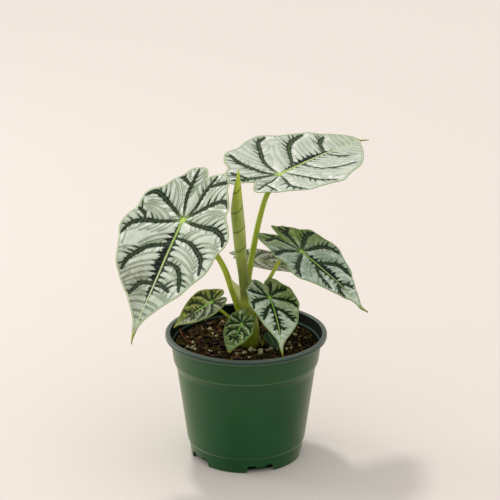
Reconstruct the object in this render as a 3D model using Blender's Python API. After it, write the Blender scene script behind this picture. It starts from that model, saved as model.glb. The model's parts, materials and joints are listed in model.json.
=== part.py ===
"""A potted dragon scale alocasia: seven veined shield leaves on their stems, one rolled
new leaf, a seedling and a sprout, growing in soil in a round nursery pot.

Sizes below are millimetres and become metres when a mesh is made. X is right, Y is away
from the front of the pot and Z is up. The origin is the middle of the pot's flat base.
"""

import math
import random
from dataclasses import dataclass

import bmesh
import bpy
from mathutils import Vector, noise
from mathutils.geometry import delaunay_2d_cdt

MM = 0.001
GAP = 0.3

# Pot: a 108 mm nursery pot with a rolled rim, a collar and a notched foot
POT_HEIGHT = 86.8
POT_WALL = 1.2
POT_FLOOR = 2.4
RIM_RADIUS = 54.0
RIM_DROP = 3.2
RIM_INNER = 50.8
RIM_TOP_EDGE = 0.9
RIM_LOWER_EDGE = 0.5
COLLAR_TOP_RADIUS = 50.6
COLLAR_RADIUS = 48.6
COLLAR_Z = 68.0
SHOULDER_RADIUS = 46.2
SHOULDER_Z = 60.5
WALL_FOOT_RADIUS = 39.8
WALL_FOOT_Z = 12.1
FOOT_TOP_RADIUS = 38.6
FOOT_TOP_Z = 10.3
FOOT_RADIUS = 37.4
FOOT_EDGE = 0.6
INNER_LEDGE_Z = 79.6
INNER_LEDGE = 0.5
POT_SIDES = 60
POT_SHARP_ANGLE = 30.0

# Drainage notches in the foot: one every 72 degrees, the first right of the front
NOTCH_COUNT = 5
NOTCH_FIRST = -75.0
NOTCH_WIDTH = 17.0
NOTCH_SLOPE = 1.6
NOTCH_HEIGHT = 5.3
NOTCH_DEPTH = 6.0
TOOTH_WIDTH = 6.0
TOOTH_SLOPE = 0.8
TOOTH_DROP = 1.2

# Soil: fills the pot to about 10 mm below the rim
SOIL_TOP = 76.6
SOIL_TILT = 0.035
SOIL_RELIEF = 1.1
SOIL_WALL_GAP = 0.4
SOIL_RINGS = 9
SOIL_SIDES = 40

# Perlite grains on the soil: place and size
PERLITE = [((-16, 36), 4.0), ((-25, 26), 4.2), ((-39, -6), 3.2), ((-35, -5), 3.6),
           ((-24, -12), 3.0), ((-1, -15), 3.2), ((3, -9), 3.0), ((10, -12), 3.6),
           ((16, -7), 3.0), ((28, -7), 3.2), ((40, 11), 2.6), ((36, -2), 2.8), ((29, 3), 2.4)]
PERLITE_SQUASH = (1.0, 0.8, 0.75)

# Bark crumbs scattered between the pot's wall and the stems
CRUMB_COUNT = 26
CRUMB_SEED = 7
CRUMB_SIZES = (4.0, 7.5)
CRUMB_WIDTHS = (0.5, 0.9)
CRUMB_LENGTH = 1.2
CRUMB_HEIGHT = 0.6
CRUMB_UNEVEN = 0.25
CRUMB_REACH = 44.0
CRUMB_WALL_LIMIT = 45.0
STEM_CLEARING = 13.0
STEM_CLEARING_X = 4.0

# Holes in the soil for the crown and the two shoots
CROWN_HOLE_RADIUS = 6.0
CROWN_HOLE_SIDES = 20
SEEDLING_HOLE_RADIUS = 1.0
SPROUT_HOLE_RADIUS = 1.3
SHOOT_HOLE_SIDES = 8
HOLE_TOP = 95.0

# Crown: the thick base that the leaf stems come out of, and its part in the soil
CROWN_ROUTE = [(2.6, 0, 54), (2.6, 0, 66), (2.6, 0, 78), (2.4, 0, 87), (1.4, 0, 96),
               (0.7, 0, 105), (0.6, 0, 117)]
CROWN_RADII = [3.6, 5.2, 5.6, 6.6, 6.4, 5.4, 5.2]
CROWN_TOP = 117.0
SHEATH_ROUTE = [(-1.8, -2.2, 101), (-3.8, -2.8, 107), (-5.9, -3.1, 113), (-7.1, -3.3, 118),
                (-8.0, -3.4, 121.5), (-9.4, -3.7, 124.6)]
SHEATH_RADII = [1.9, 1.8, 1.6, 1.5, 1.3, 0.3]
CROWN_SIDES = 16

# Sprout beside the crown
SPROUT_ROUTE = [(9.6, 4.6, 68), (9.4, 4.4, 78), (8.0, 3.6, 83.5)]
SPROUT_RADII = [0.8, 0.75, 0.3]
SHOOT_SIDES = 6
SHOOT_STEP = 3.0

# Rolled new leaf: centre of each ring and its radius, from the crown to the tip
NEW_LEAF_ROUTE = [(-1.3, -2.6, 117.3), (-2, -3.2, 128), (-3, -4, 137), (-4.1, -5, 149.5),
                  (-5, -6, 162), (-5.9, -7, 173), (-5.8, -7.8, 182), (-5.4, -8.5, 190.5),
                  (-5.0, -9, 197), (-4.8, -9.3, 202)]
NEW_LEAF_RADII = [3.2, 3.4, 3.7, 4.1, 4.3, 4.2, 3.3, 2.2, 1.1, 0.3]
NEW_LEAF_LAP = 0.14         # share of the radius that the free edge stands out
NEW_LEAF_TURNS = 0.45       # turns of that edge from the crown to the tip
NEW_LEAF_SIDES = 14
NEW_LEAF_STEP = 6.0
NEW_LEAF_TIP = 0.3

# Blades
BLADE_THICKNESS = 0.8
MIDRIB_SHARE = 0.94         # share of the blade's length that the midrib runs
KEEL_ROUND = 3.0            # half width of the round bottom of the fold along the midrib
QUILT_HEIGHT = 0.013        # share of the blade's length that its panels stand up
QUILT_WIDTH = 0.045         # share of the length over which they rise
WAVE_HEIGHT = 0.02          # share of the length that the margin waves
BLADE_STEP = 2.0            # side of a blade's triangles, with a share of its length added
BLADE_STEP_SHARE = 0.045
SEEDLING_STEP = 2.2
EDGE_SHARE = 0.8            # side of the triangles along the edge, as a share of that step
VEIN_CLEARANCE = 0.45       # nearest that a vein's end comes to the edge, in steps
POINT_CLEARANCE = 0.62      # nearest that other points come to the lines, in steps

# Stems
STEM_SIDES = 8
STEM_STEP = 7.0
STEM_TURN = 4.0             # straight length square to the blade, and its limit for small ones
STEM_TURN_SHARE = 0.11
SHARP_ANGLE = 40.0


@dataclass
class Leaf:
    """A blade in its own plane: u to the right and v to the tip, from the stem's junction."""

    name: str
    junction: tuple
    heading: float          # degrees, 0 is +X and 90 is +Y
    droop: float            # degrees of the tip below the horizon
    roll: float             # degrees, positive lowers the right side
    bend_tip: float         # downward bend towards the tip, radians a metre
    bend_back: float        # the same towards the back lobes
    keel: float             # slope of both halves up from the midrib
    tip: tuple
    sinus: tuple            # bottom of the cut between the back lobes
    right: list             # edge from the tip to the sinus
    left: list              # edge from the tip to the sinus
    veins: list
    stem: list              # from inside the crown to near the junction
    stem_radii: tuple       # at the crown and at the junction
    stub: float             # length of stem that is one with the crown
    waves: int = 9
    wave_phase: float = 0.0


def mirrored_veins(length, half_width):
    """Five pairs of side veins for a small leaf."""
    shapes = [
        [(0, 0), (0.18, -0.17), (0.30, -0.31)],
        [(0, 0), (0.45, -0.12), (0.80, -0.15)],
        [(0, 0), (0.45, 0.05), (0.76, 0.13), (0.86, 0.24)],
        [(0, 0.17), (0.35, 0.24), (0.58, 0.36), (0.62, 0.48)],
        [(0, 0.45), (0.22, 0.52), (0.30, 0.61)],
    ]
    return [[(side * u * half_width, v * length) for u, v in shape]
            for shape in shapes for side in (1, -1)]


LEAVES = [
    Leaf("leaf_large_left", (-40.4, -20.0, 170.9), -122, 42, 5, 2.0, 2.8, 0.10,
         tip=(-0.5, 89), sinus=(-2, -33),
         right=[(3, 80), (5.5, 72), (13, 62), (24, 50.5), (33, 39), (37, 29), (40, 21), (43, 13),
                (42, 5), (38, -3), (37, -8), (37, -14), (33, -19), (25, -23), (21, -30),
                (16, -35), (12, -40), (7, -42), (2, -41), (-1, -37)],
         left=[(0.3, 81), (-2.5, 73), (-12, 63), (-24, 54), (-32, 43), (-39, 34), (-41, 23),
               (-44, 12), (-40, 3), (-34, -5), (-32, -12), (-27, -21), (-23, -27), (-21, -33),
               (-15, -38), (-9, -38), (-4, -36)],
         veins=[[(0, 0), (6, -18), (7, -28), (8, -40)],
                [(7, -26), (15, -31), (20, -32)],
                [(0, 0), (9, -6), (22, -14), (30, -17), (36, -13)],
                [(0, 0), (17, 4), (27, 5), (36, 9), (40, 17)],
                [(27, 5), (30, 0), (36, -3)],
                [(0, 17), (9, 20), (17, 23), (22, 28), (27, 34), (28, 41)],
                [(0, 46), (10, 48), (13, 52), (15, 56)],
                [(0, 0), (-5, -10), (-6, -22), (-9, -36)],
                [(-6, -26), (-14, -30), (-20, -31)],
                [(0, 0), (-7, -6), (-20, -15), (-27, -16), (-31, -12)],
                [(0, 0), (-14, 3), (-29, 5), (-38, 10), (-41, 16)],
                [(0, 13), (-14, 16), (-22, 21), (-29, 27), (-32, 37)],
                [(0, 30), (-12, 34), (-17, 39), (-22, 50)],
                [(0, 48), (-7, 48), (-14, 51)]],
         stem=[(-1.0, 0, 92), (-4.3, -1, 101.4), (-9.3, -2.6, 117), (-15.3, -6, 135.4),
               (-26, -11, 153.8)],
         stem_radii=(2.2, 1.4), stub=35.0, waves=11),
    Leaf("leaf_large_right", (22.2, 12.0, 192.2), 46, -8, 10, 1.5, 0.4, 0.17,
         tip=(7, 82), sinus=(-3, -21),
         right=[(2.5, 79), (8.5, 72), (15.5, 66), (22.5, 58), (29.5, 49), (35, 39.5), (37, 29),
                (42, 14.5), (39.5, 7.5), (36, 0), (34, -6), (27, -14), (17, -23), (11, -28), (6, -29.5),
                (1, -26.5)],
         left=[(0, 80.5), (-9, 77), (-16, 69), (-21, 59), (-25, 52), (-28, 41), (-32, 31),
               (-37.5, 23.5), (-38.5, 16.5), (-38, 6), (-36, -3), (-37, -13), (-31, -21),
               (-24.5, -24), (-21.5, -29.5), (-16, -33), (-10.5, -34), (-7, -26)],
         veins=[[(0, 0), (3, -10), (3, -16), (5, -26)],
                [(3, -17), (16, -20)],
                [(0, 0), (8, -4), (17, -9), (25, -9), (30, -7)],
                [(0, 4), (12, 6), (20, 7), (27, 8), (37, 15)],
                [(0, 22), (14, 23), (20, 28), (24, 34), (26, 46)],
                [(0, 45), (10, 48), (14, 54)],
                [(0, 0), (-8, -19), (-11, -26), (-14, -31)],
                [(-8, -20), (-20, -26)],
                [(0, 0), (-6, -6), (-14, -10), (-24, -13), (-34, -12)],
                [(0, 0), (-9, 0), (-17, 2), (-24, 7), (-33, 14), (-35, 22)],
                [(0, 13), (-10, 21), (-17, 27), (-22, 35), (-24, 48)],
                [(0, 45), (-7, 49), (-12, 53), (-16, 61)]],
         stem=[(0.8, 3.0, 117.3), (1.3, 3.8, 123), (4.7, 6, 142.3), (8.9, 8.4, 163),
               (14.2, 11, 179.4)],
         stem_radii=(2.1, 1.5), stub=0.0, waves=10, wave_phase=1.0),
    Leaf("leaf_right", (36.3, -5.0, 144.6), -32, 29, 0, 2.0, 5.0, 0.08,
         tip=(2.3, 60.5), sinus=(1.5, -19),
         right=[(4.2, 55), (5.5, 47.5), (15, 34.5), (20, 28.5), (25, 21.5), (30.5, 14.5), (30, 8),
                (27, 3), (28, -4), (25, -12), (23, -19.5), (19, -25.5), (13, -27), (7, -23)],
         left=[(1.5, 55), (-1.5, 50), (-14, 36), (-18.5, 31), (-22.5, 22), (-28, 14), (-28.5, 8),
               (-26.5, 0.5), (-26, -9), (-18, -14.5), (-14, -21), (-7, -26), (-3, -28)],
         veins=[[(0, 0), (4, -11), (8, -20), (12, -25)],
                [(7, -18), (18, -19)],
                [(0, 0), (7, -3), (16, -6), (26, -6)],
                [(0, 1), (13, 6), (21, 10), (26, 16)],
                [(0, 12), (8, 21), (11, 33)],
                [(0, 33), (6, 38), (7, 43)],
                [(0, 0), (-3, -8), (-6, -18), (-7, -25)],
                [(-6, -17), (-13, -21)],
                [(0, 0), (-8, -4), (-17, -8), (-25, -7)],
                [(0, 0), (-8, 2), (-16, 4), (-23, 9), (-24.5, 15)],
                [(0, 12), (-11, 19), (-15, 24), (-15, 33)],
                [(0, 33), (-5, 37), (-6.5, 41)]],
         stem=[(5.0, 0.4, 93), (6.4, 0.6, 104), (10.7, 0.4, 115.3), (16.7, 0, 126.3),
               (21.9, -1.0, 136.6),
               (27.2, -2.2, 140.2)],
         stem_radii=(1.7, 1.1), stub=17.0, wave_phase=2.0),
    Leaf("leaf_front", (15.4, -18.0, 117.4), -67, 35, -13, 12.5, 12.5, 0.18,
         tip=(0, 42), sinus=(0, -11),
         right=[(2, 36), (3, 32), (7, 27), (13, 20), (17, 13), (20, 8), (19, 2), (18, -4),
                (13, -9), (10, -13), (6, -15), (2, -14)],
         left=[(-1, 36), (-3, 32), (-9, 26), (-14, 20), (-17, 12), (-19, 7), (-18, -1),
               (-17, -6), (-13, -10), (-10, -15), (-6, -16), (-2, -14)],
         veins=[[(0, 0), (4, -5), (8, -12)],
                [(0, 0), (5, -2), (16, -4)],
                [(0, 0), (7, 2), (15, 5), (17, 10)],
                [(0, 6), (5, 9), (11, 17)],
                [(0, 20), (4, 24)],
                [(0, 0), (-3, -6), (-6, -13)],
                [(0, 0), (-6, -4), (-14, -5)],
                [(0, 0), (-7, 2), (-14, 5), (-17, 9)],
                [(0, 8), (-6, 11), (-12, 19)],
                [(0, 20), (-4, 24)]],
         stem=[(4.5, -3.0, 95), (6.6, -6.8, 103), (10.0, -12.4, 110)],
         stem_radii=(1.6, 1.1), stub=9.0, waves=8, wave_phase=0.5),
    Leaf("leaf_small_front", (-2.7, -22.0, 100.6), -123, 43, -4, 5.0, 5.0, 0.20,
         tip=(0, 22), sinus=(-1, -6),
         right=[(3, 19), (8, 12), (10, 6), (10, 0), (9, -5), (5, -9), (2, -11)],
         left=[(-3, 17), (-8, 12), (-11, 6), (-11, 2), (-8, -4), (-5, -8)],
         veins=mirrored_veins(22, 10.5),
         stem=[(1.4, -3.0, 84), (0.2, -8.5, 90), (-0.8, -14.5, 94.5)],
         stem_radii=(1.3, 0.9), stub=10.0, waves=7),
    Leaf("leaf_small_left", (-22.9, -12.0, 111.7), -165, 28, -22, 5.7, 6.0, 0.25,
         tip=(0, 30), sinus=(0, -7),
         right=[(3, 25), (8, 18), (11, 11), (12.5, 4), (11, -1), (7.5, -7), (4, -11), (1, -10)],
         left=[(-1, 26), (-4, 22), (-9, 15), (-12, 8), (-13, 2), (-11, -4), (-7, -9), (-3, -10)],
         veins=mirrored_veins(29, 12.5),
         stem=[(0.0, -2.4, 84), (-4.6, -4.6, 90.6), (-10.0, -7.2, 98), (-15.8, -9.6, 104.6)],
         stem_radii=(1.35, 1.0), stub=9.5, waves=7, wave_phase=1.5),
    Leaf("leaf_back", (5.0, 30.5, 126.7), -4, 11, -1.5, 3.0, 3.0, 0.12,
         tip=(1, 43), sinus=(0, -9),
         right=[(3, 36), (9, 28), (16, 20), (21, 12), (23, 5), (21, -2), (16.5, -8),
                (10.5, -11.5), (4.5, -13.5), (1.5, -13)],
         left=[(-2, 35), (-8, 29), (-14, 21), (-18, 13), (-19, 5), (-17, -2), (-13, -9),
               (-8, -14), (-3.5, -17), (-1, -14.5)],
         veins=mirrored_veins(40, 18.5),
         stem=[(2.0, 3.0, 92), (2.6, 8.0, 102), (2.6, 15.5, 112), (2.2, 23.5, 120.5)],
         stem_radii=(1.7, 1.2), stub=11.5, waves=8, wave_phase=2.5),
]

SEEDLING_LEAF = Leaf(
    "leaf_seedling", (15.0, -2.0, 85.2), -56, 34, 30, 8.0, 8.0, 0.15,
    tip=(0, 14), sinus=(0, -1.5),
    right=[(2, 9), (3.4, 5), (3.4, 1), (1.6, -2)],
    left=[(-2, 9), (-3.4, 5), (-3.4, 1), (-1.6, -2)],
    veins=[], stem=[(10.9, 0.4, 68), (10.9, 0.4, 77), (12.6, -0.8, 81.6)],
    stem_radii=(0.65, 0.5), stub=0.0, waves=3)


# Scene and mesh helpers

def clear_scene():
    for obj in list(bpy.data.objects):
        bpy.data.objects.remove(obj, do_unlink=True)


def make_material(name, colour, roughness):
    material = bpy.data.materials.new(name)
    material.use_nodes = True
    shader = material.node_tree.nodes["Principled BSDF"]
    shader.inputs["Base Color"].default_value = (*colour, 1.0)
    shader.inputs["Roughness"].default_value = roughness
    shader.inputs["Metallic"].default_value = 0.0
    return material


def make_object(name, points, faces, material, smooth=True):
    """An object from points in millimetres."""
    mesh = bpy.data.meshes.new(name)
    mesh.from_pydata([Vector(p) * MM for p in points], [], faces)
    mesh.validate()
    if smooth:
        mesh.shade_smooth()
        mesh.set_sharp_from_angle(angle=math.radians(SHARP_ANGLE))
    obj = bpy.data.objects.new(name, mesh)
    obj.data.materials.append(material)
    bpy.context.collection.objects.link(obj)
    return obj


def apply_modifiers(obj):
    graph = bpy.context.evaluated_depsgraph_get()
    mesh = bpy.data.meshes.new_from_object(obj.evaluated_get(graph))
    obj.modifiers.clear()
    obj.data = mesh


def combine(obj, others, operation):
    """Fuse the others into the object, or cut them out of it, and remove them."""
    group = bpy.data.collections.new(obj.name + "_pieces")
    bpy.context.scene.collection.children.link(group)
    for other in others:
        group.objects.link(other)
        bpy.context.collection.objects.unlink(other)
    boolean = obj.modifiers.new("combine", "BOOLEAN")
    boolean.operation = operation
    boolean.operand_type = "COLLECTION"
    boolean.collection = group
    boolean.solver = "EXACT"
    apply_modifiers(obj)
    for other in others:
        bpy.data.objects.remove(other, do_unlink=True)
    bpy.data.collections.remove(group)


# Curve helpers

def smooth_curve(controls, steps=8):
    """Points of a Catmull-Rom curve through the controls."""
    controls = [Vector(c) for c in controls]
    padded = [2 * controls[0] - controls[1]] + controls + [2 * controls[-1] - controls[-2]]
    points = []
    for before, start, end, after in zip(padded, padded[1:], padded[2:], padded[3:]):
        for step in range(steps):
            t = step / steps
            points.append(0.5 * (2 * start + (end - before) * t
                                 + (2 * before - 5 * start + 4 * end - after) * t * t
                                 + (3 * start - before - 3 * end + after) * t ** 3))
    points.append(controls[-1])
    return points


def curve_lengths(points):
    lengths = [0.0]
    for start, end in zip(points, points[1:]):
        lengths.append(lengths[-1] + (end - start).length)
    return lengths


def point_at(points, lengths, distance):
    for i in range(1, len(points)):
        if distance <= lengths[i]:
            share = (distance - lengths[i - 1]) / max(lengths[i] - lengths[i - 1], 1e-9)
            return points[i - 1].lerp(points[i], share)
    return points[-1]


def even_points(points, spacing, start=0.0, end=None):
    """Points a nearly even distance apart along part of a curve."""
    lengths = curve_lengths(points)
    end = lengths[-1] if end is None else end
    count = max(1, round((end - start) / spacing))
    return [point_at(points, lengths, start + (end - start) * i / count)
            for i in range(count + 1)]


def directions(points):
    """The direction of a line of points at each of them."""
    last = len(points) - 1
    return [(points[min(i + 1, last)] - points[max(i - 1, 0)]).normalized()
            for i in range(last + 1)]


def tube_mesh(centres, alongs, radii, sides, lap=0.0, turns=0.0):
    """A closed tube. A lap makes the rings a shallow spiral with one raised edge."""
    points = []
    side_dir = Vector((1, 0, 0))
    for i, (centre, along) in enumerate(zip(centres, alongs)):
        side_dir = (side_dir - along * side_dir.dot(along)).normalized()
        other_dir = along.cross(side_dir)
        turn = turns * math.tau * i / max(len(centres) - 1, 1)
        for s in range(sides):
            angle = math.tau * s / sides
            radius = radii[i] * (1 + lap * (s / (sides - 1) - 0.5))
            direction = side_dir * math.cos(angle + turn) + other_dir * math.sin(angle + turn)
            points.append(centre + direction * radius)
    faces = [tuple(reversed(range(sides)))]
    for i in range(len(centres) - 1):
        for s in range(sides):
            low, low_next = i * sides + s, i * sides + (s + 1) % sides
            faces.append((low, low_next, low_next + sides, low + sides))
    top = (len(centres) - 1) * sides
    faces.append(tuple(range(top, top + sides)))
    return points, faces


def turned_mesh(profile, sides):
    """A closed solid turned round the Z axis. The profile's ends lie on the axis."""
    inner = profile[1:-1]
    points = [Vector((0, 0, profile[0][1]))]
    for radius, height in inner:
        for s in range(sides):
            angle = math.tau * s / sides
            points.append(Vector((radius * math.cos(angle), radius * math.sin(angle), height)))
    points.append(Vector((0, 0, profile[-1][1])))
    last = len(points) - 1
    first_ring, last_ring = 1, 1 + (len(inner) - 1) * sides
    faces = []
    for s in range(sides):
        following = (s + 1) % sides
        faces.append((0, first_ring + following, first_ring + s))
        faces.append((last, last_ring + s, last_ring + following))
        for ring in range(len(inner) - 1):
            low = 1 + ring * sides
            faces.append((low + s, low + following, low + sides + following, low + sides + s))
    return points, faces


# Leaves

def leaf_axes(leaf):
    heading, droop, roll = (math.radians(a) for a in (leaf.heading, leaf.droop, leaf.roll))
    forward = Vector((math.cos(heading) * math.cos(droop), math.sin(heading) * math.cos(droop),
                      -math.sin(droop)))
    level = Vector((math.sin(heading), -math.cos(heading), 0))
    across = level * math.cos(roll) - level.cross(forward) * math.sin(roll)
    return across, forward, across.cross(forward)


def leaf_point(leaf, u, v, height):
    """World place of a point of the blade, and the blade's normal there."""
    across, forward, normal = leaf_axes(leaf)
    bend = (leaf.bend_tip if v > 0 else leaf.bend_back) * MM
    angle = bend * v
    rise = leaf.keel * (math.hypot(u, KEEL_ROUND) - KEEL_ROUND) + height
    along = math.sin(angle) / bend + rise * math.sin(angle)
    above = -(1 - math.cos(angle)) / bend + rise * math.cos(angle)
    local_normal = normal * math.cos(angle) + forward * math.sin(angle)
    place = Vector(leaf.junction) + across * u + forward * along + normal * above
    return place, local_normal


def segment_distance(point, start, end):
    span = end - start
    share = max(0.0, min(1.0, (point - start).dot(span) / max(span.length_squared, 1e-9)))
    return (point - start - span * share).length


def line_distance(point, line):
    return min(segment_distance(point, start, end) for start, end in zip(line, line[1:]))


def inside_outline(point, outline):
    inside = False
    for start, end in zip(outline, outline[1:] + outline[:1]):
        if (start.y > point.y) != (end.y > point.y):
            crossing = start.x + (end.x - start.x) * (point.y - start.y) / (end.y - start.y)
            inside ^= point.x < crossing
    return inside


def leaf_outline(leaf, spacing):
    right = smooth_curve([leaf.tip] + leaf.right + [leaf.sinus])
    left = smooth_curve([leaf.sinus] + leaf.left[::-1] + [leaf.tip])
    return even_points(right, spacing)[:-1] + even_points(left, spacing)[:-1]


def leaf_veins(leaf, spacing):
    """The midrib and the side veins as lines of points."""
    midrib = [Vector((0, 0)), Vector((0, leaf.tip[1] * MIDRIB_SHARE))]
    lines = [even_points(midrib, spacing)] if leaf.veins else []
    lines += [even_points(smooth_curve(vein), spacing) for vein in leaf.veins]
    return lines


def leaf_height(leaf, point, veins, length):
    """Quilted panels stand up between sunk veins, and the margin waves."""
    quilt = 0.0
    if veins:
        distance = min(line_distance(point, line) for line in veins)
        quilt = QUILT_HEIGHT * length * (1 - math.exp(-(distance / (QUILT_WIDTH * length)) ** 2))
    reach = point.length / length
    wave = math.sin(leaf.waves * math.atan2(point.x, point.y) + leaf.wave_phase)
    return quilt + WAVE_HEIGHT * length * reach ** 3 * wave


def leaf_triangles(leaf, spacing, veins):
    outline = leaf_outline(leaf, spacing * EDGE_SHARE)
    points = list(outline)
    edges = [(i, (i + 1) % len(outline)) for i in range(len(outline))]
    for line in veins:
        line = [p for p in line
                if min((p - q).length for q in outline) > VEIN_CLEARANCE * spacing]
        edges += [(len(points) + i, len(points) + i + 1) for i in range(len(line) - 1)]
        points += line
    fixed = list(points)
    low = Vector((min(p.x for p in outline), min(p.y for p in outline)))
    high = Vector((max(p.x for p in outline), max(p.y for p in outline)))
    row_height = spacing * math.sqrt(0.75)
    for row in range(int((high.y - low.y) / row_height) + 1):
        for column in range(int((high.x - low.x) / spacing) + 1):
            candidate = Vector((low.x + (column + 0.5 * (row % 2)) * spacing,
                                low.y + row * row_height))
            clear = min((candidate - p).length for p in fixed) > POINT_CLEARANCE * spacing
            if clear and inside_outline(candidate, outline):
                points.append(candidate)
    flat, _, faces, *_ = delaunay_2d_cdt(points, edges, [], 1, 1e-4)
    return flat, faces


def rim_edges(faces):
    """Directed edges that only one triangle uses."""
    seen = {(a, b) for face in faces for a, b in zip(face, face[1:] + face[:1])}
    return [(a, b) for a, b in seen if (b, a) not in seen]


def build_blade(leaf, material):
    length = leaf.tip[1]
    spacing = BLADE_STEP + BLADE_STEP_SHARE * length if leaf.veins else SEEDLING_STEP
    veins = leaf_veins(leaf, spacing)
    flat, faces = leaf_triangles(leaf, spacing, veins)
    faces = [tuple(f) if (flat[f[1]] - flat[f[0]]).cross(flat[f[2]] - flat[f[0]]) > 0
             else tuple(reversed(f)) for f in faces]
    top, bottom = [], []
    for p in flat:
        place, normal = leaf_point(leaf, p.x, p.y, leaf_height(leaf, p, veins, length))
        top.append(place)
        bottom.append(place - normal * BLADE_THICKNESS)
    count = len(top)
    solid = list(faces) + [tuple(i + count for i in reversed(f)) for f in faces]
    for a, b in sorted(rim_edges(faces)):
        solid += [(b, a, a + count), (b, a + count, b + count)]
    return make_object(leaf.name, top + bottom, solid, material)


# Stems and crown

def stem_mesh(leaf, start, end=None):
    """Part of a stem, which ends square to the blade just under its junction."""
    normal = leaf_axes(leaf)[2]
    junction = Vector(leaf.junction)
    turn = min(STEM_TURN, STEM_TURN_SHARE * leaf.tip[1])
    under = [junction - normal * (BLADE_THICKNESS + GAP + rise) for rise in (turn, 0.1)]
    curve = smooth_curve(leaf.stem + under)
    lengths = curve_lengths(curve)
    end = lengths[-1] if end is None else end
    count = max(2, round((end - start) / STEM_STEP))
    distances = [start + (end - start) * i / count for i in range(count + 1)]
    centres = [point_at(curve, lengths, d) for d in distances]
    alongs = [(point_at(curve, lengths, d + 0.5) - point_at(curve, lengths, max(d - 0.5, 0)))
              .normalized() for d in distances]
    low, high = leaf.stem_radii
    radii = [low + (high - low) * d / lengths[-1] for d in distances]
    return tube_mesh(centres, alongs, radii, STEM_SIDES)


def build_stem(leaf, material):
    points, faces = stem_mesh(leaf, leaf.stub + GAP if leaf.stub else 0.0)
    return make_object(leaf.name.replace("leaf", "stem", 1), points, faces, material)


def build_crown(material):
    route = smooth_curve(CROWN_ROUTE, 2)
    radii = [r.x for r in smooth_curve([(r, 0) for r in CROWN_RADII], 2)]
    points, faces = tube_mesh(route, directions(route), radii, CROWN_SIDES)
    top_ring = len(points) - CROWN_SIDES
    for i in range(top_ring, len(points)):
        points[i].z = CROWN_TOP - GAP
    crown = make_object("crown", points, faces, material)
    stubs = []
    for leaf in LEAVES:
        if not leaf.stub:
            continue
        points, faces = stem_mesh(leaf, 0.0, leaf.stub)
        stubs.append(make_object("stub", points, faces, material))
    stubs.append(build_shoot("sheath", SHEATH_ROUTE, SHEATH_RADII, material))
    combine(crown, stubs, "UNION")
    return crown


def build_new_leaf(material):
    route = even_points(smooth_curve(NEW_LEAF_ROUTE), NEW_LEAF_STEP)
    table = smooth_curve([(z[2], r) for z, r in zip(NEW_LEAF_ROUTE, NEW_LEAF_RADII)])
    radii = []
    for centre in route:
        nearest = min(table, key=lambda entry: abs(entry.x - centre.z))
        radii.append(max(nearest.y, NEW_LEAF_TIP))
    points, faces = tube_mesh(route, directions(route), radii, NEW_LEAF_SIDES,
                              NEW_LEAF_LAP, NEW_LEAF_TURNS)
    for i in range(NEW_LEAF_SIDES):
        points[i].z = CROWN_TOP
    return make_object("leaf_rolled_new", points, faces, material)


def build_shoot(name, route, radii, material):
    centres = even_points(smooth_curve(route), SHOOT_STEP)
    profile = smooth_curve([(r, 0) for r in radii])
    spread = [profile[round(i * (len(profile) - 1) / (len(centres) - 1))].x
              for i in range(len(centres))]
    points, faces = tube_mesh(centres, directions(centres), spread, SHOOT_SIDES)
    return make_object(name, points, faces, material)


# Pot and soil

def pot_outer_profile():
    return [(0, 0), (FOOT_RADIUS - FOOT_EDGE, 0), (FOOT_RADIUS, FOOT_EDGE),
            (FOOT_TOP_RADIUS, FOOT_TOP_Z), (WALL_FOOT_RADIUS, WALL_FOOT_Z),
            (SHOULDER_RADIUS, SHOULDER_Z), (COLLAR_RADIUS, COLLAR_Z),
            (COLLAR_TOP_RADIUS, POT_HEIGHT - RIM_DROP),
            (RIM_RADIUS - RIM_LOWER_EDGE, POT_HEIGHT - RIM_DROP),
            (RIM_RADIUS, POT_HEIGHT - RIM_DROP + RIM_LOWER_EDGE),
            (RIM_RADIUS, POT_HEIGHT - RIM_TOP_EDGE), (RIM_RADIUS - RIM_TOP_EDGE, POT_HEIGHT)]


def pot_inner_profile():
    """The inside from the rim down to the middle of the floor."""
    return [(RIM_INNER + RIM_TOP_EDGE, POT_HEIGHT), (RIM_INNER, POT_HEIGHT - RIM_TOP_EDGE),
            (COLLAR_TOP_RADIUS - POT_WALL, INNER_LEDGE_Z),
            (COLLAR_TOP_RADIUS - POT_WALL - INNER_LEDGE, INNER_LEDGE_Z - INNER_LEDGE),
            (COLLAR_RADIUS - POT_WALL, COLLAR_Z), (SHOULDER_RADIUS - POT_WALL, SHOULDER_Z),
            (WALL_FOOT_RADIUS - POT_WALL, WALL_FOOT_Z),
            (FOOT_TOP_RADIUS - POT_WALL, FOOT_TOP_Z),
            (FOOT_RADIUS - POT_WALL, POT_FLOOR), (0, POT_FLOOR)]


def notch_cutter(angle, material):
    """A slot with sloping ends and a shallow tooth at the top, cut through the foot."""
    half, tooth = NOTCH_WIDTH / 2, TOOTH_WIDTH / 2
    shape = [(-half - NOTCH_SLOPE, -1), (half + NOTCH_SLOPE, -1), (half, NOTCH_HEIGHT),
             (tooth + TOOTH_SLOPE, NOTCH_HEIGHT), (tooth, NOTCH_HEIGHT - TOOTH_DROP),
             (-tooth, NOTCH_HEIGHT - TOOTH_DROP), (-tooth - TOOTH_SLOPE, NOTCH_HEIGHT),
             (-half, NOTCH_HEIGHT)]
    outward = Vector((math.cos(angle), math.sin(angle), 0))
    sideways = Vector((-math.sin(angle), math.cos(angle), 0))
    points = []
    for radius in (FOOT_RADIUS - NOTCH_DEPTH, FOOT_RADIUS + NOTCH_DEPTH):
        points += [outward * radius + sideways * x + Vector((0, 0, z)) for x, z in shape]
    count = len(shape)
    faces = [tuple(reversed(range(count))), tuple(range(count, 2 * count))]
    faces += [(i, (i + 1) % count, (i + 1) % count + count, i + count) for i in range(count)]
    return make_object("notch", points, faces, material, smooth=False)


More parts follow.
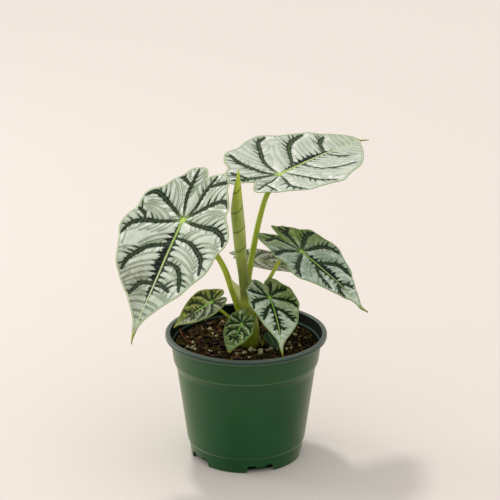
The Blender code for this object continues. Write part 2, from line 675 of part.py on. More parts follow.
def build_pot(material):
    points, faces = turned_mesh(pot_outer_profile() + pot_inner_profile(), POT_SIDES)
    pot = make_object("pot", points, faces, material)
    cutters = [notch_cutter(math.radians(NOTCH_FIRST + i * 360 / NOTCH_COUNT), material)
               for i in range(NOTCH_COUNT)]
    combine(pot, cutters, "DIFFERENCE")
    pot.data.shade_smooth()
    pot.data.set_sharp_from_angle(angle=math.radians(POT_SHARP_ANGLE))
    return pot


def inner_radius(height):
    profile = pot_inner_profile()
    for (high_r, high_z), (low_r, low_z) in zip(profile, profile[1:]):
        if low_z <= height <= high_z:
            return low_r + (high_r - low_r) * (height - low_z) / (high_z - low_z)
    return 0.0


def soil_height(x, y):
    bumps = noise.noise(Vector((x, y, 0)) * 0.11) + 0.6 * noise.noise(Vector((x, y, 9)) * 0.26)
    return SOIL_TOP + SOIL_TILT * y + SOIL_RELIEF * bumps


def soil_top_radius(angle):
    """Where the uneven top meets the pot's wall."""
    radius = inner_radius(SOIL_TOP) - SOIL_WALL_GAP
    height = soil_height(radius * math.cos(angle), radius * math.sin(angle))
    return inner_radius(height) - SOIL_WALL_GAP


def crumb(place, size, spin, squash, material):
    """One flattened uneven lump, half sunk in the soil."""
    mesh = bmesh.new()
    bmesh.ops.create_icosphere(mesh, subdivisions=1, radius=size / 2)
    mesh.verts.index_update()
    points = []
    for vertex in mesh.verts:
        p = vertex.co.copy()
        p *= 1 + CRUMB_UNEVEN * noise.noise(p * 1.3 + Vector((spin, place[0], place[1])))
        p = Vector((p.x * squash[0], p.y * squash[1], p.z * squash[2]))
        turned = Vector((p.x * math.cos(spin) - p.y * math.sin(spin),
                         p.x * math.sin(spin) + p.y * math.cos(spin), p.z))
        points.append(turned + Vector((place[0], place[1], soil_height(*place))))
    faces = [tuple(v.index for v in f.verts) for f in mesh.faces]
    mesh.free()
    return make_object("crumb", points, faces, material, smooth=False)


def scattered_crumbs(material):
    draw = random.Random(CRUMB_SEED)
    crumbs = []
    while len(crumbs) < CRUMB_COUNT:
        angle = draw.uniform(0, math.tau)
        reach = CRUMB_REACH * math.sqrt(draw.uniform(0.1, 1))
        place = (reach * math.cos(angle), reach * math.sin(angle))
        size = draw.uniform(*CRUMB_SIZES)
        near_stem = math.hypot(place[0] - STEM_CLEARING_X, place[1]) < STEM_CLEARING
        if near_stem or reach > CRUMB_WALL_LIMIT - size / 2:
            continue
        spin = draw.uniform(0, math.tau)
        squash = (CRUMB_LENGTH, draw.uniform(*CRUMB_WIDTHS), CRUMB_HEIGHT)
        crumbs.append(crumb(place, size, spin, squash, material))
    return crumbs


def build_soil(material):
    profile_heights = [POT_FLOOR + GAP, FOOT_TOP_Z, WALL_FOOT_Z, SHOULDER_Z, COLLAR_Z]
    points = [Vector((0, 0, profile_heights[0]))]
    for height in profile_heights:
        radius = inner_radius(height) - SOIL_WALL_GAP
        for s in range(SOIL_SIDES):
            angle = math.tau * s / SOIL_SIDES
            points.append(Vector((radius * math.cos(angle), radius * math.sin(angle), height)))
    for ring in range(SOIL_RINGS, 0, -1):
        for s in range(SOIL_SIDES):
            angle = math.tau * s / SOIL_SIDES
            radius = soil_top_radius(angle) * ring / SOIL_RINGS
            x, y = radius * math.cos(angle), radius * math.sin(angle)
            points.append(Vector((x, y, soil_height(x, y))))
    points.append(Vector((0, 0, soil_height(0, 0))))
    rings = len(profile_heights) + SOIL_RINGS
    faces = []
    for s in range(SOIL_SIDES):
        following = (s + 1) % SOIL_SIDES
        faces.append((0, 1 + following, 1 + s))
        faces.append((len(points) - 1, 1 + (rings - 1) * SOIL_SIDES + s,
                      1 + (rings - 1) * SOIL_SIDES + following))
        for ring in range(rings - 1):
            low = 1 + ring * SOIL_SIDES
            corners = (low + s, low + following, low + SOIL_SIDES + following,
                       low + SOIL_SIDES + s)
            faces += [(corners[0], corners[1], corners[2]), (corners[0], corners[2], corners[3])]
    soil = make_object("soil", points, faces, material)

    lumps = [crumb(place, size, i, PERLITE_SQUASH, material)
             for i, (place, size) in enumerate(PERLITE)]
    lumps += scattered_crumbs(material)
    combine(soil, lumps, "UNION")

    holes = [(CROWN_ROUTE[0], CROWN_HOLE_RADIUS, CROWN_HOLE_SIDES),
             (SEEDLING_LEAF.stem[0], SEEDLING_HOLE_RADIUS, SHOOT_HOLE_SIDES),
             (SPROUT_ROUTE[0], SPROUT_HOLE_RADIUS, SHOOT_HOLE_SIDES)]
    cutters = []
    for (x, y, bottom), radius, sides in holes:
        axis = [Vector((x, y, bottom - GAP)), Vector((x, y, HOLE_TOP))]
        points, faces = tube_mesh(axis, directions(axis), [radius, radius], sides)
        cutters.append(make_object("hole", points, faces, material, smooth=False))
    combine(soil, cutters, "DIFFERENCE")
    return soil


def main():
    clear_scene()
    silver = make_material("silver_leaf", (0.42, 0.53, 0.40), 0.5)
    olive = make_material("olive_leaf", (0.20, 0.30, 0.12), 0.5)
    stem = make_material("stem_green", (0.34, 0.42, 0.06), 0.45)
    dark = make_material("soil_brown", (0.035, 0.022, 0.015), 0.95)
    plastic = make_material("pot_green", (0.02, 0.13, 0.055), 0.4)

    for leaf in LEAVES:
        build_blade(leaf, olive if "small" in leaf.name else silver)
        build_stem(leaf, stem)
    build_blade(SEEDLING_LEAF, olive)
    build_stem(SEEDLING_LEAF, stem)
    build_shoot("sprout", SPROUT_ROUTE, SPROUT_RADII, stem)
    build_new_leaf(stem)
    build_crown(stem)
    build_soil(dark)
    build_pot(plastic)


main()
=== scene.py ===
"""The look of a potted dragon scale alocasia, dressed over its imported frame.

Sizes below are millimetres and become metres when a mesh is made. X is right, Y is away
from the front of the pot and Z is up. The origin is the middle of the pot's flat base.
"""

import json
import math
import random
from dataclasses import dataclass

import bmesh
import bpy
import numpy as np
from mathutils import Matrix, Vector, kdtree, noise
from mathutils.geometry import delaunay_2d_cdt


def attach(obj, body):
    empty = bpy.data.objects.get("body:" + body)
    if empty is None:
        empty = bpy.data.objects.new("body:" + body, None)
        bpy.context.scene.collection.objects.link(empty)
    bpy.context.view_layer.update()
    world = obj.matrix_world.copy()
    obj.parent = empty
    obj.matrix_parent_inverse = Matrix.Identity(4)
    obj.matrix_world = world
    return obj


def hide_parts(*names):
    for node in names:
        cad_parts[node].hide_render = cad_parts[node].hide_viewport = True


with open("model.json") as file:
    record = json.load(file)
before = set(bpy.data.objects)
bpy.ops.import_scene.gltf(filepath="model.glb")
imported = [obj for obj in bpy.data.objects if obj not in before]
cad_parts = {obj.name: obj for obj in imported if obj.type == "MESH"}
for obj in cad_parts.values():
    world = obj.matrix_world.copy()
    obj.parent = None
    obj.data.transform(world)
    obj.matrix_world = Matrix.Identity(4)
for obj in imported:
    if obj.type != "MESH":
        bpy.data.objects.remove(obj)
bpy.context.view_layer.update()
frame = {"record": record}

MM = 0.001

# Camera: fitted to the rim, collar and foot of the pot
CAMERA_PITCH = 19.05
CAMERA_RANGE = 1200.0
CAMERA_AIM = (2.6, 0, 143.9)
CAMERA_SENSOR = 36.0
CAMERA_LENS = 131.54

# Light: a high soft sun from behind on the left, in a pale room
SUN_TOWARDS = (0.181, -0.381, -0.907)
SUN_STRENGTH = 0.98
SUN_SOFTNESS = 6.0
SUN_COLOUR = (1.0, 0.97, 0.92)
ROOM_COLOUR = (1.0, 0.98, 0.96)
ROOM_STRENGTH = 0.85
FILL_PLACE = (-1300, 420, 260)
FILL_SIZE = 500.0
FILL_POWER = 8.0
FLOOR_SIZE = 12000.0

# Pot, as in the frame but for its shoulder
POT_HEIGHT = 86.8
POT_WALL = 1.2
POT_FLOOR = 2.4
RIM_RADIUS = 54.0
RIM_DROP = 3.2
RIM_INNER = 50.8
COLLAR_TOP_RADIUS = 50.6
COLLAR_RADIUS = 48.6
COLLAR_Z = 68.0
SHOULDER_RADIUS = 46.5
SHOULDER_Z = 62.8
WALL_FOOT_RADIUS = 39.8
WALL_FOOT_Z = 12.1
FOOT_TOP_RADIUS = 38.6
FOOT_TOP_Z = 10.3
FOOT_RADIUS = 37.4
INNER_LEDGE_Z = 79.6
INNER_LEDGE = 0.5
POT_SIDES = 180
SHARP_ANGLE = 32.0
NOTCH_COUNT = 5
NOTCH_FIRST = -75.0
NOTCH_WIDTH = 17.0
NOTCH_SLOPE = 1.6
NOTCH_HEIGHT = 5.3
NOTCH_DEPTH = 6.0
TOOTH_WIDTH = 6.0
TOOTH_SLOPE = 0.8
TOOTH_DROP = 1.2

# Soil, with its even form as in the frame
SOIL_TOP = 76.6
SOIL_TILT = 0.035
SOIL_RELIEF = 1.1
SOIL_WALL_GAP = 0.4
SOIL_STEP = 0.65
SOIL_SIDES = 360
SOIL_REACH = 47.0           # how far out loose pieces are strewn
CROWN_CLEARING = 9.0        # and how far from the crown they stay
BARK_REACH = 48.2
BARK_COUNT = 560
GRAIN_COUNT = 26
FIBRE_COUNT = 150

# Crown and shoots, with their routes as in the frame
CROWN_ROUTE = [(2.6, 0, 54), (2.6, 0, 66), (2.6, 0, 78), (2.4, 0, 87), (1.4, 0, 96),
               (0.7, 0, 105), (0.6, 0, 117)]
CROWN_SKIN_RADII = [3.6, 5.2, 5.6, 6.5, 5.9, 4.1, 2.4]
FOOT_FUSED = 4.0            # length of a stem that is one with the crown's skin
CROWN_TOP = 117.0
MEMBRANE_FOOT = 97.0
MEMBRANE_TOP = 126.4
MEMBRANE_GRID = (11, 30)
MEMBRANE_THICKNESS = 0.28
MEMBRANE_OFFSETS = ((1.3, -1.3), (-2.2, -2.1))      # from the stem's line and the roll's
STEM_SIDES = 20
STEM_RING = 1.1
GROOVE_ANGLE = 1.3          # opposite the groove down a stem
SPROUT_ROUTE = [(9.6, 4.6, 68), (9.4, 4.4, 78), (8.0, 3.6, 83.5)]
SPROUT_RADII = [0.8, 0.75, 0.3]
NEW_LEAF_ROUTE = [(-1.3, -2.6, 117.3), (-2, -3.2, 128), (-3, -4, 137), (-4.1, -5, 149.5),
                  (-5, -6, 162), (-5.9, -7, 173), (-5.8, -7.8, 182), (-5.4, -8.5, 190.5),
                  (-5.0, -9, 197), (-4.8, -9.3, 202)]
NEW_LEAF_RADII = [3.2, 3.4, 3.7, 4.1, 4.3, 4.2, 3.3, 2.2, 1.1, 0.3]
NEW_LEAF_SIDES = 48
NEW_LEAF_SEAM = (3.6, 5.1)  # angle of the free edge at the foot and the tip
NEW_LEAF_LAP = 0.13
ARC_FIRST = 144.9           # heights of the dark arcs on the roll
ARC_PITCH = 13.6

# Blades, with their folds and waves as in the frame
GAP = 0.3
BLADE_THICKNESS = 0.8
KEEL_ROUND = 3.0
QUILT_HEIGHT = 0.013
QUILT_WIDTH = 0.045
WAVE_HEIGHT = 0.02
PUCKER = 0.0052             # how deep the side veins lie, as a share of the length
RIB_RISE = 0.4
EDGE_LIP = 0.25             # how far the edge turns down
LARGE_BLADE = 90.0          # length of a blade with veins of full thickness
TIP_TRIM = 0.1              # the fine blade ends this much inside the plain one
OUTLINE_SHARE = 0.9988      # and its round outline is this much smaller
STEM_TURN = 4.0
STEM_TURN_SHARE = 0.11


@dataclass
class Look:
    """The colours of one blade. A panel runs from groove to ridge."""

    silver: tuple           # groove, low, panel and ridge where the blade is silver, dark to light; the tone that picks among them holds the blade's own streaks as well as painted shade and highlights
    green: tuple            # the same where it is green
    green_from: tuple       # direction (u, v) of the green part, and where it starts and is full
    vein: str
    band: str               # dark band beside the midrib
    rib: str
    margin: str
    edge: str
    heart: float = 0.15     # how much the light middle of a vein shows
    rib_end: float = 1.2    # share of the blade where the light midrib is gone
    tone: float = 0.55      # how light the panels are
    tip_shade: float = 0.0  # how much darker they are towards the tip
    dry: object = (0.25, 0.12, 0.02)    # the dry end of the tip, as digits or linear
    tail: tuple = (0.86, 0.95)          # share of the blade where its olive tail starts and is full
    pleat: float = 0.3      # how much painted shade darkens the furrows over the side veins
    streaks: float = 1.0    # strength of the streaks between the veins
    bronze: float = 0.0     # strength of the painted brown-grey shade of the folds on the right half


WHITE_STOPS = ("687a5c", "9eab94", "cad1c2", "f0f2ea")
FRESH_STOPS = ("3c541a", "667e32", "90a45a", "c0cc9c")
BLUE_STOPS = ("486046", "849c80", "bacab6", "e8eee4")
FRONT_STOPS = ("3c5828", "78926a", "aec2a8", "dee6dc")
OLIVE_STOPS = ("3a460e", "6a7424", "949e4a", "b2ba70")
LOBE_STOPS = ("2e4612", "5c7432", "8a9e5c", "becc9e")
LEAST_STOPS = ("20380b", "445e24", "788f54", "b8c8a2")
GREY_STOPS = ("4a5636", "7a8264", "a4a88c", "ceceb8")
BEIGE_STOPS = ("484c32", "74765c", "a6a68e", "d2cebc")
PALE_STOPS = ("606a4c", "929a80", "bec6b2", "dee2d6")
NIGHT_STOPS = ("223a2c", "2e4a38", "3a5842", "4e6a50")

SILVER_LEFT = Look(WHITE_STOPS, FRESH_STOPS, (-0.5, 0.85, 60, 110), "0e200e", "0d180f", "8aa858",
                   "c2d0ac", "80924c", tone=0.63, tip_shade=0.15, dry="966c30", pleat=0.55, streaks=0.42,
                   bronze=0.5)
SILVER_RIGHT = Look(WHITE_STOPS, FRESH_STOPS, (-0.2, 0.98, 50, 120), "1a2e18", "121e14", "a4c070",
                    "c6d4ae", "869a5a", 0.24, 1.2, 0.69, dry="baa068", tail=(0.955, 0.972), pleat=0.24,
                    streaks=0.6, tip_shade=0.06)
SIDE_GREEN = Look(BLUE_STOPS, FRESH_STOPS, (-0.45, -0.9, -4, 16), "102210", "0f1e18", "7cac42", "a0b67a",
                  "748a3c", tone=0.58, tip_shade=-0.22, dry="6a3a0e")
FRONT_GREEN = Look(FRONT_STOPS, LOBE_STOPS, (-0.75, -0.65, -6, 9), "091a03", "0b1a0a", "629e2a", "9ab074",
                   "68863a", tone=0.8)
SMALL_FRONT = Look(LEAST_STOPS, LEAST_STOPS, (0, 1, 50, 90), "142807", "142809", "549228", "708c4a",
                   "607a34", 0.1, 0.5, 0.74)
OLIVE = Look(GREY_STOPS, OLIVE_STOPS, (1, 0, -1.5, 2.5), "1c2705", "1a2508", "70a824", "8c9c54", "768834",
             0.1, 0.55)
BACK_GREY = Look(PALE_STOPS, BEIGE_STOPS, (0, 1, -4, 6), "323c22", "2c3420", "88b23c", "96a27a", "849254")
SEEDLING = Look(NIGHT_STOPS, NIGHT_STOPS, (0, 1, 90, 99), "28422a", "28422a", "3c5c38", "54704a",
                "54704a")


@dataclass
class Leaf:
    """A blade in its own plane: u to the right and v to the tip, from the stem's junction."""

    name: str
    look: Look
    junction: tuple
    heading: float
    droop: float
    roll: float
    bend_tip: float
    bend_back: float
    keel: float
    tip: tuple
    sinus: tuple
    right: list
    left: list
    veins: list
    stem: list
    stem_radii: tuple
    stub: float
    waves: int = 9
    wave_phase: float = 0.0
    step: float = 0.6       # side of the triangles
    vein_widths: tuple = (1.12, 1.12)   # of the right and the left half, as shares
    band_widths: tuple = (1.1, 0.9)     # of the dark band beside the midrib


def mirrored_veins(length, half_width):
    """Five pairs of side veins for a small leaf."""
    shapes = [
        [(0, 0), (0.18, -0.17), (0.30, -0.31)],
        [(0, 0), (0.45, -0.12), (0.80, -0.15)],
        [(0, 0), (0.45, 0.05), (0.76, 0.13), (0.86, 0.24)],
        [(0, 0.17), (0.35, 0.24), (0.58, 0.36), (0.62, 0.48)],
        [(0, 0.45), (0.22, 0.52), (0.30, 0.61)],
    ]
    return [[(side * u * half_width, v * length) for u, v in shape]
            for shape in shapes for side in (1, -1)]


LEAVES = [
    Leaf("leaf_large_left", SILVER_LEFT, (-40.4, -20.0, 170.9), -122, 42, 5, 2.0, 2.8, 0.10,
        tip=(-0.5, 89), sinus=(-2, -33),
        right=[(3, 80), (5.5, 72), (13, 62), (24, 50.5), (33, 39), (37, 29), (40, 21), (43, 13), (42, 5),
            (38, -3), (37, -8), (37, -14), (33, -19), (25, -23), (21, -30), (16, -35), (12, -40),
            (7, -42), (2, -41), (-1, -37)],
        left=[(0.3, 81), (-2.5, 73), (-12, 63), (-24, 54), (-32, 43), (-39, 34), (-41, 23), (-44, 12),
            (-40, 3), (-34, -5), (-32, -12), (-27, -21), (-23, -27), (-21, -33), (-15, -38), (-9, -38),
            (-4, -36)],
        veins=[[(0, 0), (6, -18), (7, -28), (8, -40)], [(7, -26), (15, -31), (20, -32)],
            [(0, 0), (9, -6), (22, -14), (30, -17), (36, -13)],
            [(0, 0), (17, 4), (27, 5), (36, 9), (40, 17)], [(27, 5), (30, 0), (36, -3)],
            [(0, 17), (9, 20), (17, 23), (22, 28), (27, 34), (28, 41)],
            [(0, 46), (10, 48), (13, 52), (15, 56)], [(0, 0), (-5, -10), (-6, -22), (-9, -36)],
            [(-6, -26), (-14, -30), (-20, -31)], [(0, 0), (-7, -6), (-20, -15), (-27, -16), (-31, -12)],
            [(0, 0), (-14, 3), (-29, 5), (-38, 10), (-41, 16)],
            [(0, 13), (-14, 16), (-22, 21), (-29, 27), (-32, 37)],
            [(0, 30), (-12, 34), (-17, 39), (-22, 50)], [(0, 48), (-7, 48), (-14, 51)]],
        stem=[(-1.0, 0, 92), (-4.3, -1, 101.4), (-9.3, -2.6, 117), (-15.3, -6, 135.4), (-26, -11, 153.8)],
        stem_radii=(2.4, 1.45), stub=35.0, waves=11, step=0.62, vein_widths=(1.14, 1.16),
        band_widths=(1.4, 0.8)),
    Leaf("leaf_large_right", SILVER_RIGHT, (22.2, 12.0, 192.2), 46, -8, 10, 1.5, 0.4, 0.17, tip=(7, 82),
        sinus=(-3, -21),
        right=[(2.5, 79), (8.5, 72), (15.5, 66), (22.5, 58), (29.5, 49), (35, 39.5), (37, 29), (42, 14.5),
            (39.5, 7.5), (36, 0), (34, -6), (27, -14), (17, -23), (11, -28), (6, -29.5), (1, -26.5)],
        left=[(0, 80.5), (-9, 77), (-16, 69), (-21, 59), (-25, 52), (-28, 41), (-32, 31), (-37.5, 23.5),
            (-38.5, 16.5), (-38, 6), (-36, -3), (-37, -13), (-31, -21), (-24.5, -24), (-21.5, -29.5),
            (-16, -33), (-10.5, -34), (-7, -26)],
        veins=[[(0, 0), (3, -10), (3, -16), (5, -26)], [(3, -17), (16, -20)],
            [(0, 0), (8, -4), (17, -9), (25, -9), (30, -7)],
            [(0, 4), (12, 6), (20, 7), (27, 8), (37, 15)],
            [(0, 22), (14, 23), (20, 28), (24, 34), (26, 46)], [(0, 45), (10, 48), (14, 54)],
            [(0, 0), (-8, -19), (-11, -26), (-14, -31)], [(-8, -20), (-20, -26)],
            [(0, 0), (-6, -6), (-14, -10), (-24, -13), (-34, -12)],
            [(0, 0), (-9, 0), (-17, 2), (-24, 7), (-33, 14), (-35, 22)],
            [(0, 13), (-10, 21), (-17, 27), (-22, 35), (-24, 48)],
            [(0, 45), (-7, 49), (-12, 53), (-16, 61)]],
        stem=[(0.8, 3.0, 117.3), (1.3, 3.8, 123), (4.7, 6, 142.3), (8.9, 8.4, 163), (14.2, 11, 179.4)],
        stem_radii=(2.25, 1.6), stub=0.0, waves=10, wave_phase=1.0, step=0.62, vein_widths=(0.8, 1.15),
        band_widths=(0.34, 1.1)),
    Leaf("leaf_right", SIDE_GREEN, (36.3, -5.0, 144.6), -32, 29, 0, 2.0, 5.0, 0.08, tip=(2.3, 60.5),
        sinus=(1.5, -19),
        right=[(4.2, 55), (5.5, 47.5), (15, 34.5), (20, 28.5), (25, 21.5), (30.5, 14.5), (30, 8), (27, 3),
            (28, -4), (25, -12), (23, -19.5), (19, -25.5), (13, -27), (7, -23)],
        left=[(1.5, 55), (-1.5, 50), (-14, 36), (-18.5, 31), (-22.5, 22), (-28, 14), (-28.5, 8),
            (-26.5, 0.5), (-26, -9), (-18, -14.5), (-14, -21), (-7, -26), (-3, -28)],
        veins=[[(0, 0), (4, -11), (8, -20), (12, -25)], [(7, -18), (18, -19)],
            [(0, 0), (7, -3), (16, -6), (26, -6)], [(0, 1), (13, 6), (21, 10), (26, 16)],
            [(0, 12), (8, 21), (11, 33)], [(0, 33), (6, 38), (7, 43)],
            [(0, 0), (-3, -8), (-6, -18), (-7, -25)], [(-6, -17), (-13, -21)],
            [(0, 0), (-8, -4), (-17, -8), (-25, -7)], [(0, 0), (-8, 2), (-16, 4), (-23, 9), (-24.5, 15)],
            [(0, 12), (-11, 19), (-15, 24), (-15, 33)], [(0, 33), (-5, 37), (-6.5, 41)]],
        stem=[(5.0, 0.4, 93), (6.4, 0.6, 104), (10.7, 0.4, 115.3), (16.7, 0, 126.3), (21.9, -1.0, 136.6),
            (27.2, -2.2, 140.2)],
        stem_radii=(1.6, 1.0), stub=17.0, wave_phase=2.0, step=0.5, vein_widths=(1.4, 1.5),
        band_widths=(1.2, 1.75)),
    Leaf("leaf_front", FRONT_GREEN, (15.4, -18.0, 117.4), -67, 35, -13, 12.5, 12.5, 0.18, tip=(0, 42),
        sinus=(0, -11),
        right=[(2, 36), (3, 32), (7, 27), (13, 20), (17, 13), (20, 8), (19, 2), (18, -4), (13, -9),
            (10, -13), (6, -15), (2, -14)],
        left=[(-1, 36), (-3, 32), (-9, 26), (-14, 20), (-17, 12), (-19, 7), (-18, -1), (-17, -6),
            (-13, -10), (-10, -15), (-6, -16), (-2, -14)],
        veins=[[(0, 0), (4, -5), (8, -12)], [(0, 0), (5, -2), (16, -4)],
            [(0, 0), (7, 2), (15, 5), (17, 10)], [(0, 6), (5, 9), (11, 17)], [(0, 20), (4, 24)],
            [(0, 0), (-3, -6), (-6, -13)], [(0, 0), (-6, -4), (-14, -5)],
            [(0, 0), (-7, 2), (-14, 5), (-17, 9)], [(0, 8), (-6, 11), (-12, 19)], [(0, 20), (-4, 24)]],
        stem=[(4.5, -3.0, 95), (6.6, -6.8, 103), (10.0, -12.4, 110)],
        stem_radii=(1.6, 1.1), stub=9.0, waves=8, wave_phase=0.5, step=0.42, vein_widths=(1.45, 1.35),
        band_widths=(1.4, 1.2)),
    Leaf("leaf_small_front", SMALL_FRONT, (-2.7, -22.0, 100.6), -123, 43, -4, 5.0, 5.0, 0.20, tip=(0, 22),
        sinus=(-1, -6),
        right=[(3, 19), (8, 12), (10, 6), (10, 0), (9, -5), (5, -9), (2, -11)],
        left=[(-3, 17), (-8, 12), (-11, 6), (-11, 2), (-8, -4), (-5, -8)],
        veins=mirrored_veins(22, 10.5),
        stem=[(1.4, -3.0, 84), (0.2, -8.5, 90), (-0.8, -14.5, 94.5)],
        stem_radii=(1.3, 0.9), stub=10.0, waves=7, step=0.36, vein_widths=(1.2, 1.2),
        band_widths=(0.9, 0.9)),
    Leaf("leaf_small_left", OLIVE, (-22.9, -12.0, 111.7), -165, 28, -22, 5.7, 6.0, 0.25, tip=(0, 30),
        sinus=(0, -7),
        right=[(3, 25), (8, 18), (11, 11), (12.5, 4), (11, -1), (7.5, -7), (4, -11), (1, -10)],
        left=[(-1, 26), (-4, 22), (-9, 15), (-12, 8), (-13, 2), (-11, -4), (-7, -9), (-3, -10)],
        veins=mirrored_veins(29, 12.5),
        stem=[(0.0, -2.4, 84), (-4.6, -4.6, 90.6), (-10.0, -7.2, 98), (-15.8, -9.6, 104.6)],
        stem_radii=(1.1, 0.85), stub=9.5, waves=7, wave_phase=1.5, step=0.38, vein_widths=(1.3, 1.3),
        band_widths=(1.0, 1.0)),
    Leaf("leaf_back", BACK_GREY, (5.0, 30.5, 126.7), -4, 11, -1.5, 3.0, 3.0, 0.12, tip=(1, 43),
        sinus=(0, -9),
        right=[(3, 36), (9, 28), (16, 20), (21, 12), (23, 5), (21, -2), (16.5, -8), (10.5, -11.5),
            (4.5, -13.5), (1.5, -13)],
        left=[(-2, 35), (-8, 29), (-14, 21), (-18, 13), (-19, 5), (-17, -2), (-13, -9), (-8, -14),
            (-3.5, -17), (-1, -14.5)],
        veins=mirrored_veins(40, 18.5),
        stem=[(2.0, 3.0, 92), (2.6, 8.0, 102), (2.6, 15.5, 112), (2.2, 23.5, 120.5)],
        stem_radii=(1.7, 1.2), stub=11.5, waves=8, wave_phase=2.5, step=0.5),
    Leaf("leaf_seedling", SEEDLING, (15.0, -2.0, 85.2), -56, 34, 30, 8.0, 8.0, 0.15, tip=(0, 14),
        sinus=(0, -1.5),
        right=[(2, 9), (3.4, 5), (3.4, 1), (1.6, -2)],
        left=[(-2, 9), (-3.4, 5), (-3.4, 1), (-1.6, -2)],
        veins=[],
        stem=[(10.9, 0.4, 68), (10.9, 0.4, 77), (12.6, -0.8, 81.6)],
        stem_radii=(0.65, 0.5), stub=0.0, waves=3, step=0.3),
]

# Main veins, and the side veins that leave them: SHARE is a share of the blade's length
BRANCH_PITCH = 1.7
BRANCH_PITCH_SHARE = 0.032
BRANCH_LEAST = 2.0
BRANCH_STEP = 0.8
BRANCH_DARK = 2.8           # length of the dark foot of a side vein
BRANCH_DARK_SHARE = 0.075
BACK_ANGLES = (60, -4)
FORE_ANGLES = (60, 16)
RIB_ANGLES = (86, 44)
VEIN_HALF_WIDTH = 0.34
VEIN_HALF_WIDTH_SHARE = 0.0128
BAND_SHARE = 0.036
EDGE_CLEAR = 1.3            # how near a side vein comes to the edge, a main vein or another
VEIN_CLEAR = 1.1
BRANCH_CLEAR = 1.2
THIN_VEIN = 0.8             # width of a short vein or one in a lobe, as a share
COURSE_STEP = 0.6           # how far each way a vein's course is read
VEIN_APART = 137            # keeps the streaks beside two veins from matching
FAR_AWAY = 9.0              # stands for no vein near

FINE = "_fine"


# Node graphs

def linear(colour):
    """A colour for the shader, from six hexadecimal digits."""
    shares = [int(colour[i:i + 2], 16) / 255 for i in (0, 2, 4)]
    return tuple(c / 12.92 if c <= 0.04 else ((c + 0.055) / 1.055) ** 2.4 for c in shares)


class Value:
    """A value in a node graph, with plain arithmetic."""

    def __init__(self, graph, socket):
        self.graph = graph
        self.socket = socket

    def __add__(self, other):
        return self.graph.math("ADD", self, other)

    def __sub__(self, other):
        return self.graph.math("SUBTRACT", self, other)

    def __rsub__(self, other):
        return self.graph.math("SUBTRACT", other, self)

    def __mul__(self, other):
        return self.graph.math("MULTIPLY", self, other)

    def __truediv__(self, other):
        return self.graph.math("DIVIDE", self, other)

    __radd__ = __add__

    def step(self, start, end, low=0.0, high=1.0):
        """A smooth step from low at start to high at end."""
        inputs = {"Value": self, "From Min": start, "From Max": end, "To Min": low, "To Max": high}
        return self.graph.add("MapRange", inputs, "Result", interpolation_type="SMOOTHSTEP")

    def band(self, start, full, still, end):
        """A smooth band that is full between its two steps."""
        return self.step(start, full) * self.step(end, still)


class Nodes:
    """One material: short calls for its nodes, and its colours laid on in coats."""

    def __init__(self, name, roughness, gloss, **constants):
        self.material = bpy.data.materials.new(name)
        self.material.use_nodes = True
        self.tree = self.material.node_tree
        self.shader = self.tree.nodes["Principled BSDF"]
        constants.update(Roughness=roughness, Specular_IOR_Level=gloss)
        for key, value in constants.items():
            self.shader.inputs[key.replace("_", " ")].default_value = value
        self.colour = None

    def plug(self, socket, value):
        """Set an input. Text is a colour, and a tuple is a vector or a linear colour."""
        if isinstance(value, Value):
            self.tree.links.new(value.socket, socket)
        elif isinstance(value, str):
            socket.default_value = (*linear(value), 1.0)
        elif isinstance(value, tuple):
            self.plug(socket, self.join(*value))
        else:
            socket.default_value = value

    def add(self, kind, inputs, output=0, **settings):
        node = self.tree.nodes.new("ShaderNode" + kind)
        for key, value in settings.items():
            setattr(node, key, value)
        for key, value in inputs.items():
            self.plug(node.inputs[key], value)
        return Value(self, node.outputs[output])

    def math(self, operation, a, b=0.0):
        return self.add("Math", {0: a, 1: b}, operation=operation)

    def mix(self, share, first, second):
        return self.add("Mix", {0: share, 6: first, 7: second}, 2, data_type="RGBA")

    def ramp(self, value, colours):
        """Even colour stops from 0 to 1."""
        ramp = self.add("ValToRGB", {0: value})
        elements = ramp.socket.node.color_ramp.elements
        while len(elements) < len(colours):
            elements.new(0.5)
        for i, colour in enumerate(colours):
            elements[i].position = i / (len(colours) - 1)
            elements[i].color = (*linear(colour), 1.0)
        return ramp

    def join(self, x, y, z=0.0):
        return self.add("CombineXYZ", {0: x, 1: y, 2: z})

    def parts(self, vector):
        first = self.add("SeparateXYZ", {0: vector})
        return [Value(self, output) for output in first.socket.node.outputs]

    def attribute(self, name):
        return self.parts(self.add("Attribute", {}, "Vector", attribute_name=name))

    def place(self):
        """Where a point of the object is, in millimetres: whole, and as x, y and z."""
        coordinates = self.add("TexCoord", {}, "Object")
        place = self.add("VectorMath", {0: coordinates, "Scale": 1 / MM}, operation="SCALE")
        return place, *self.parts(place)

    def noise(self, vector, scale, detail=2, roughness=0.5):
        inputs = {"Vector": vector, "Scale": scale, "Detail": detail, "Roughness": roughness}
        return self.add("TexNoise", inputs, "Fac")

    def cells(self, vector, scale):
        """One random value for each cell."""
        return self.parts(self.add("TexVoronoi", {"Vector": vector, "Scale": scale}, "Color"))[0]

    def base(self, share, first, second):
        self.colour = self.mix(share, first, second)

    def coat(self, share, colour):
        self.colour = self.mix(share, self.colour, colour)

    def bump(self, height, distance, strength):
        """Fine relief of the surface, with its height in millimetres."""
        inputs = {"Height": height, "Distance": distance * MM, "Strength": strength}
        self.plug(self.shader.inputs["Normal"], self.add("Bump", inputs))

    def finish(self, roughness=None):
        self.plug(self.shader.inputs["Base Color"], self.colour)
        if roughness is not None:
            self.plug(self.shader.inputs["Roughness"], roughness)
        return self.material


# Curves

def share_of(values):
    return np.clip(values, 0, 1)


def hump(distance, width):
    """One on a line, and next to nothing two widths away from it."""
    return np.exp(-(distance / width) ** 2)


def cross(first, second):
    """How far each flat vector turns from the first to the second."""
    return first[:, 0] * second[:, 1] - first[:, 1] * second[:, 0]


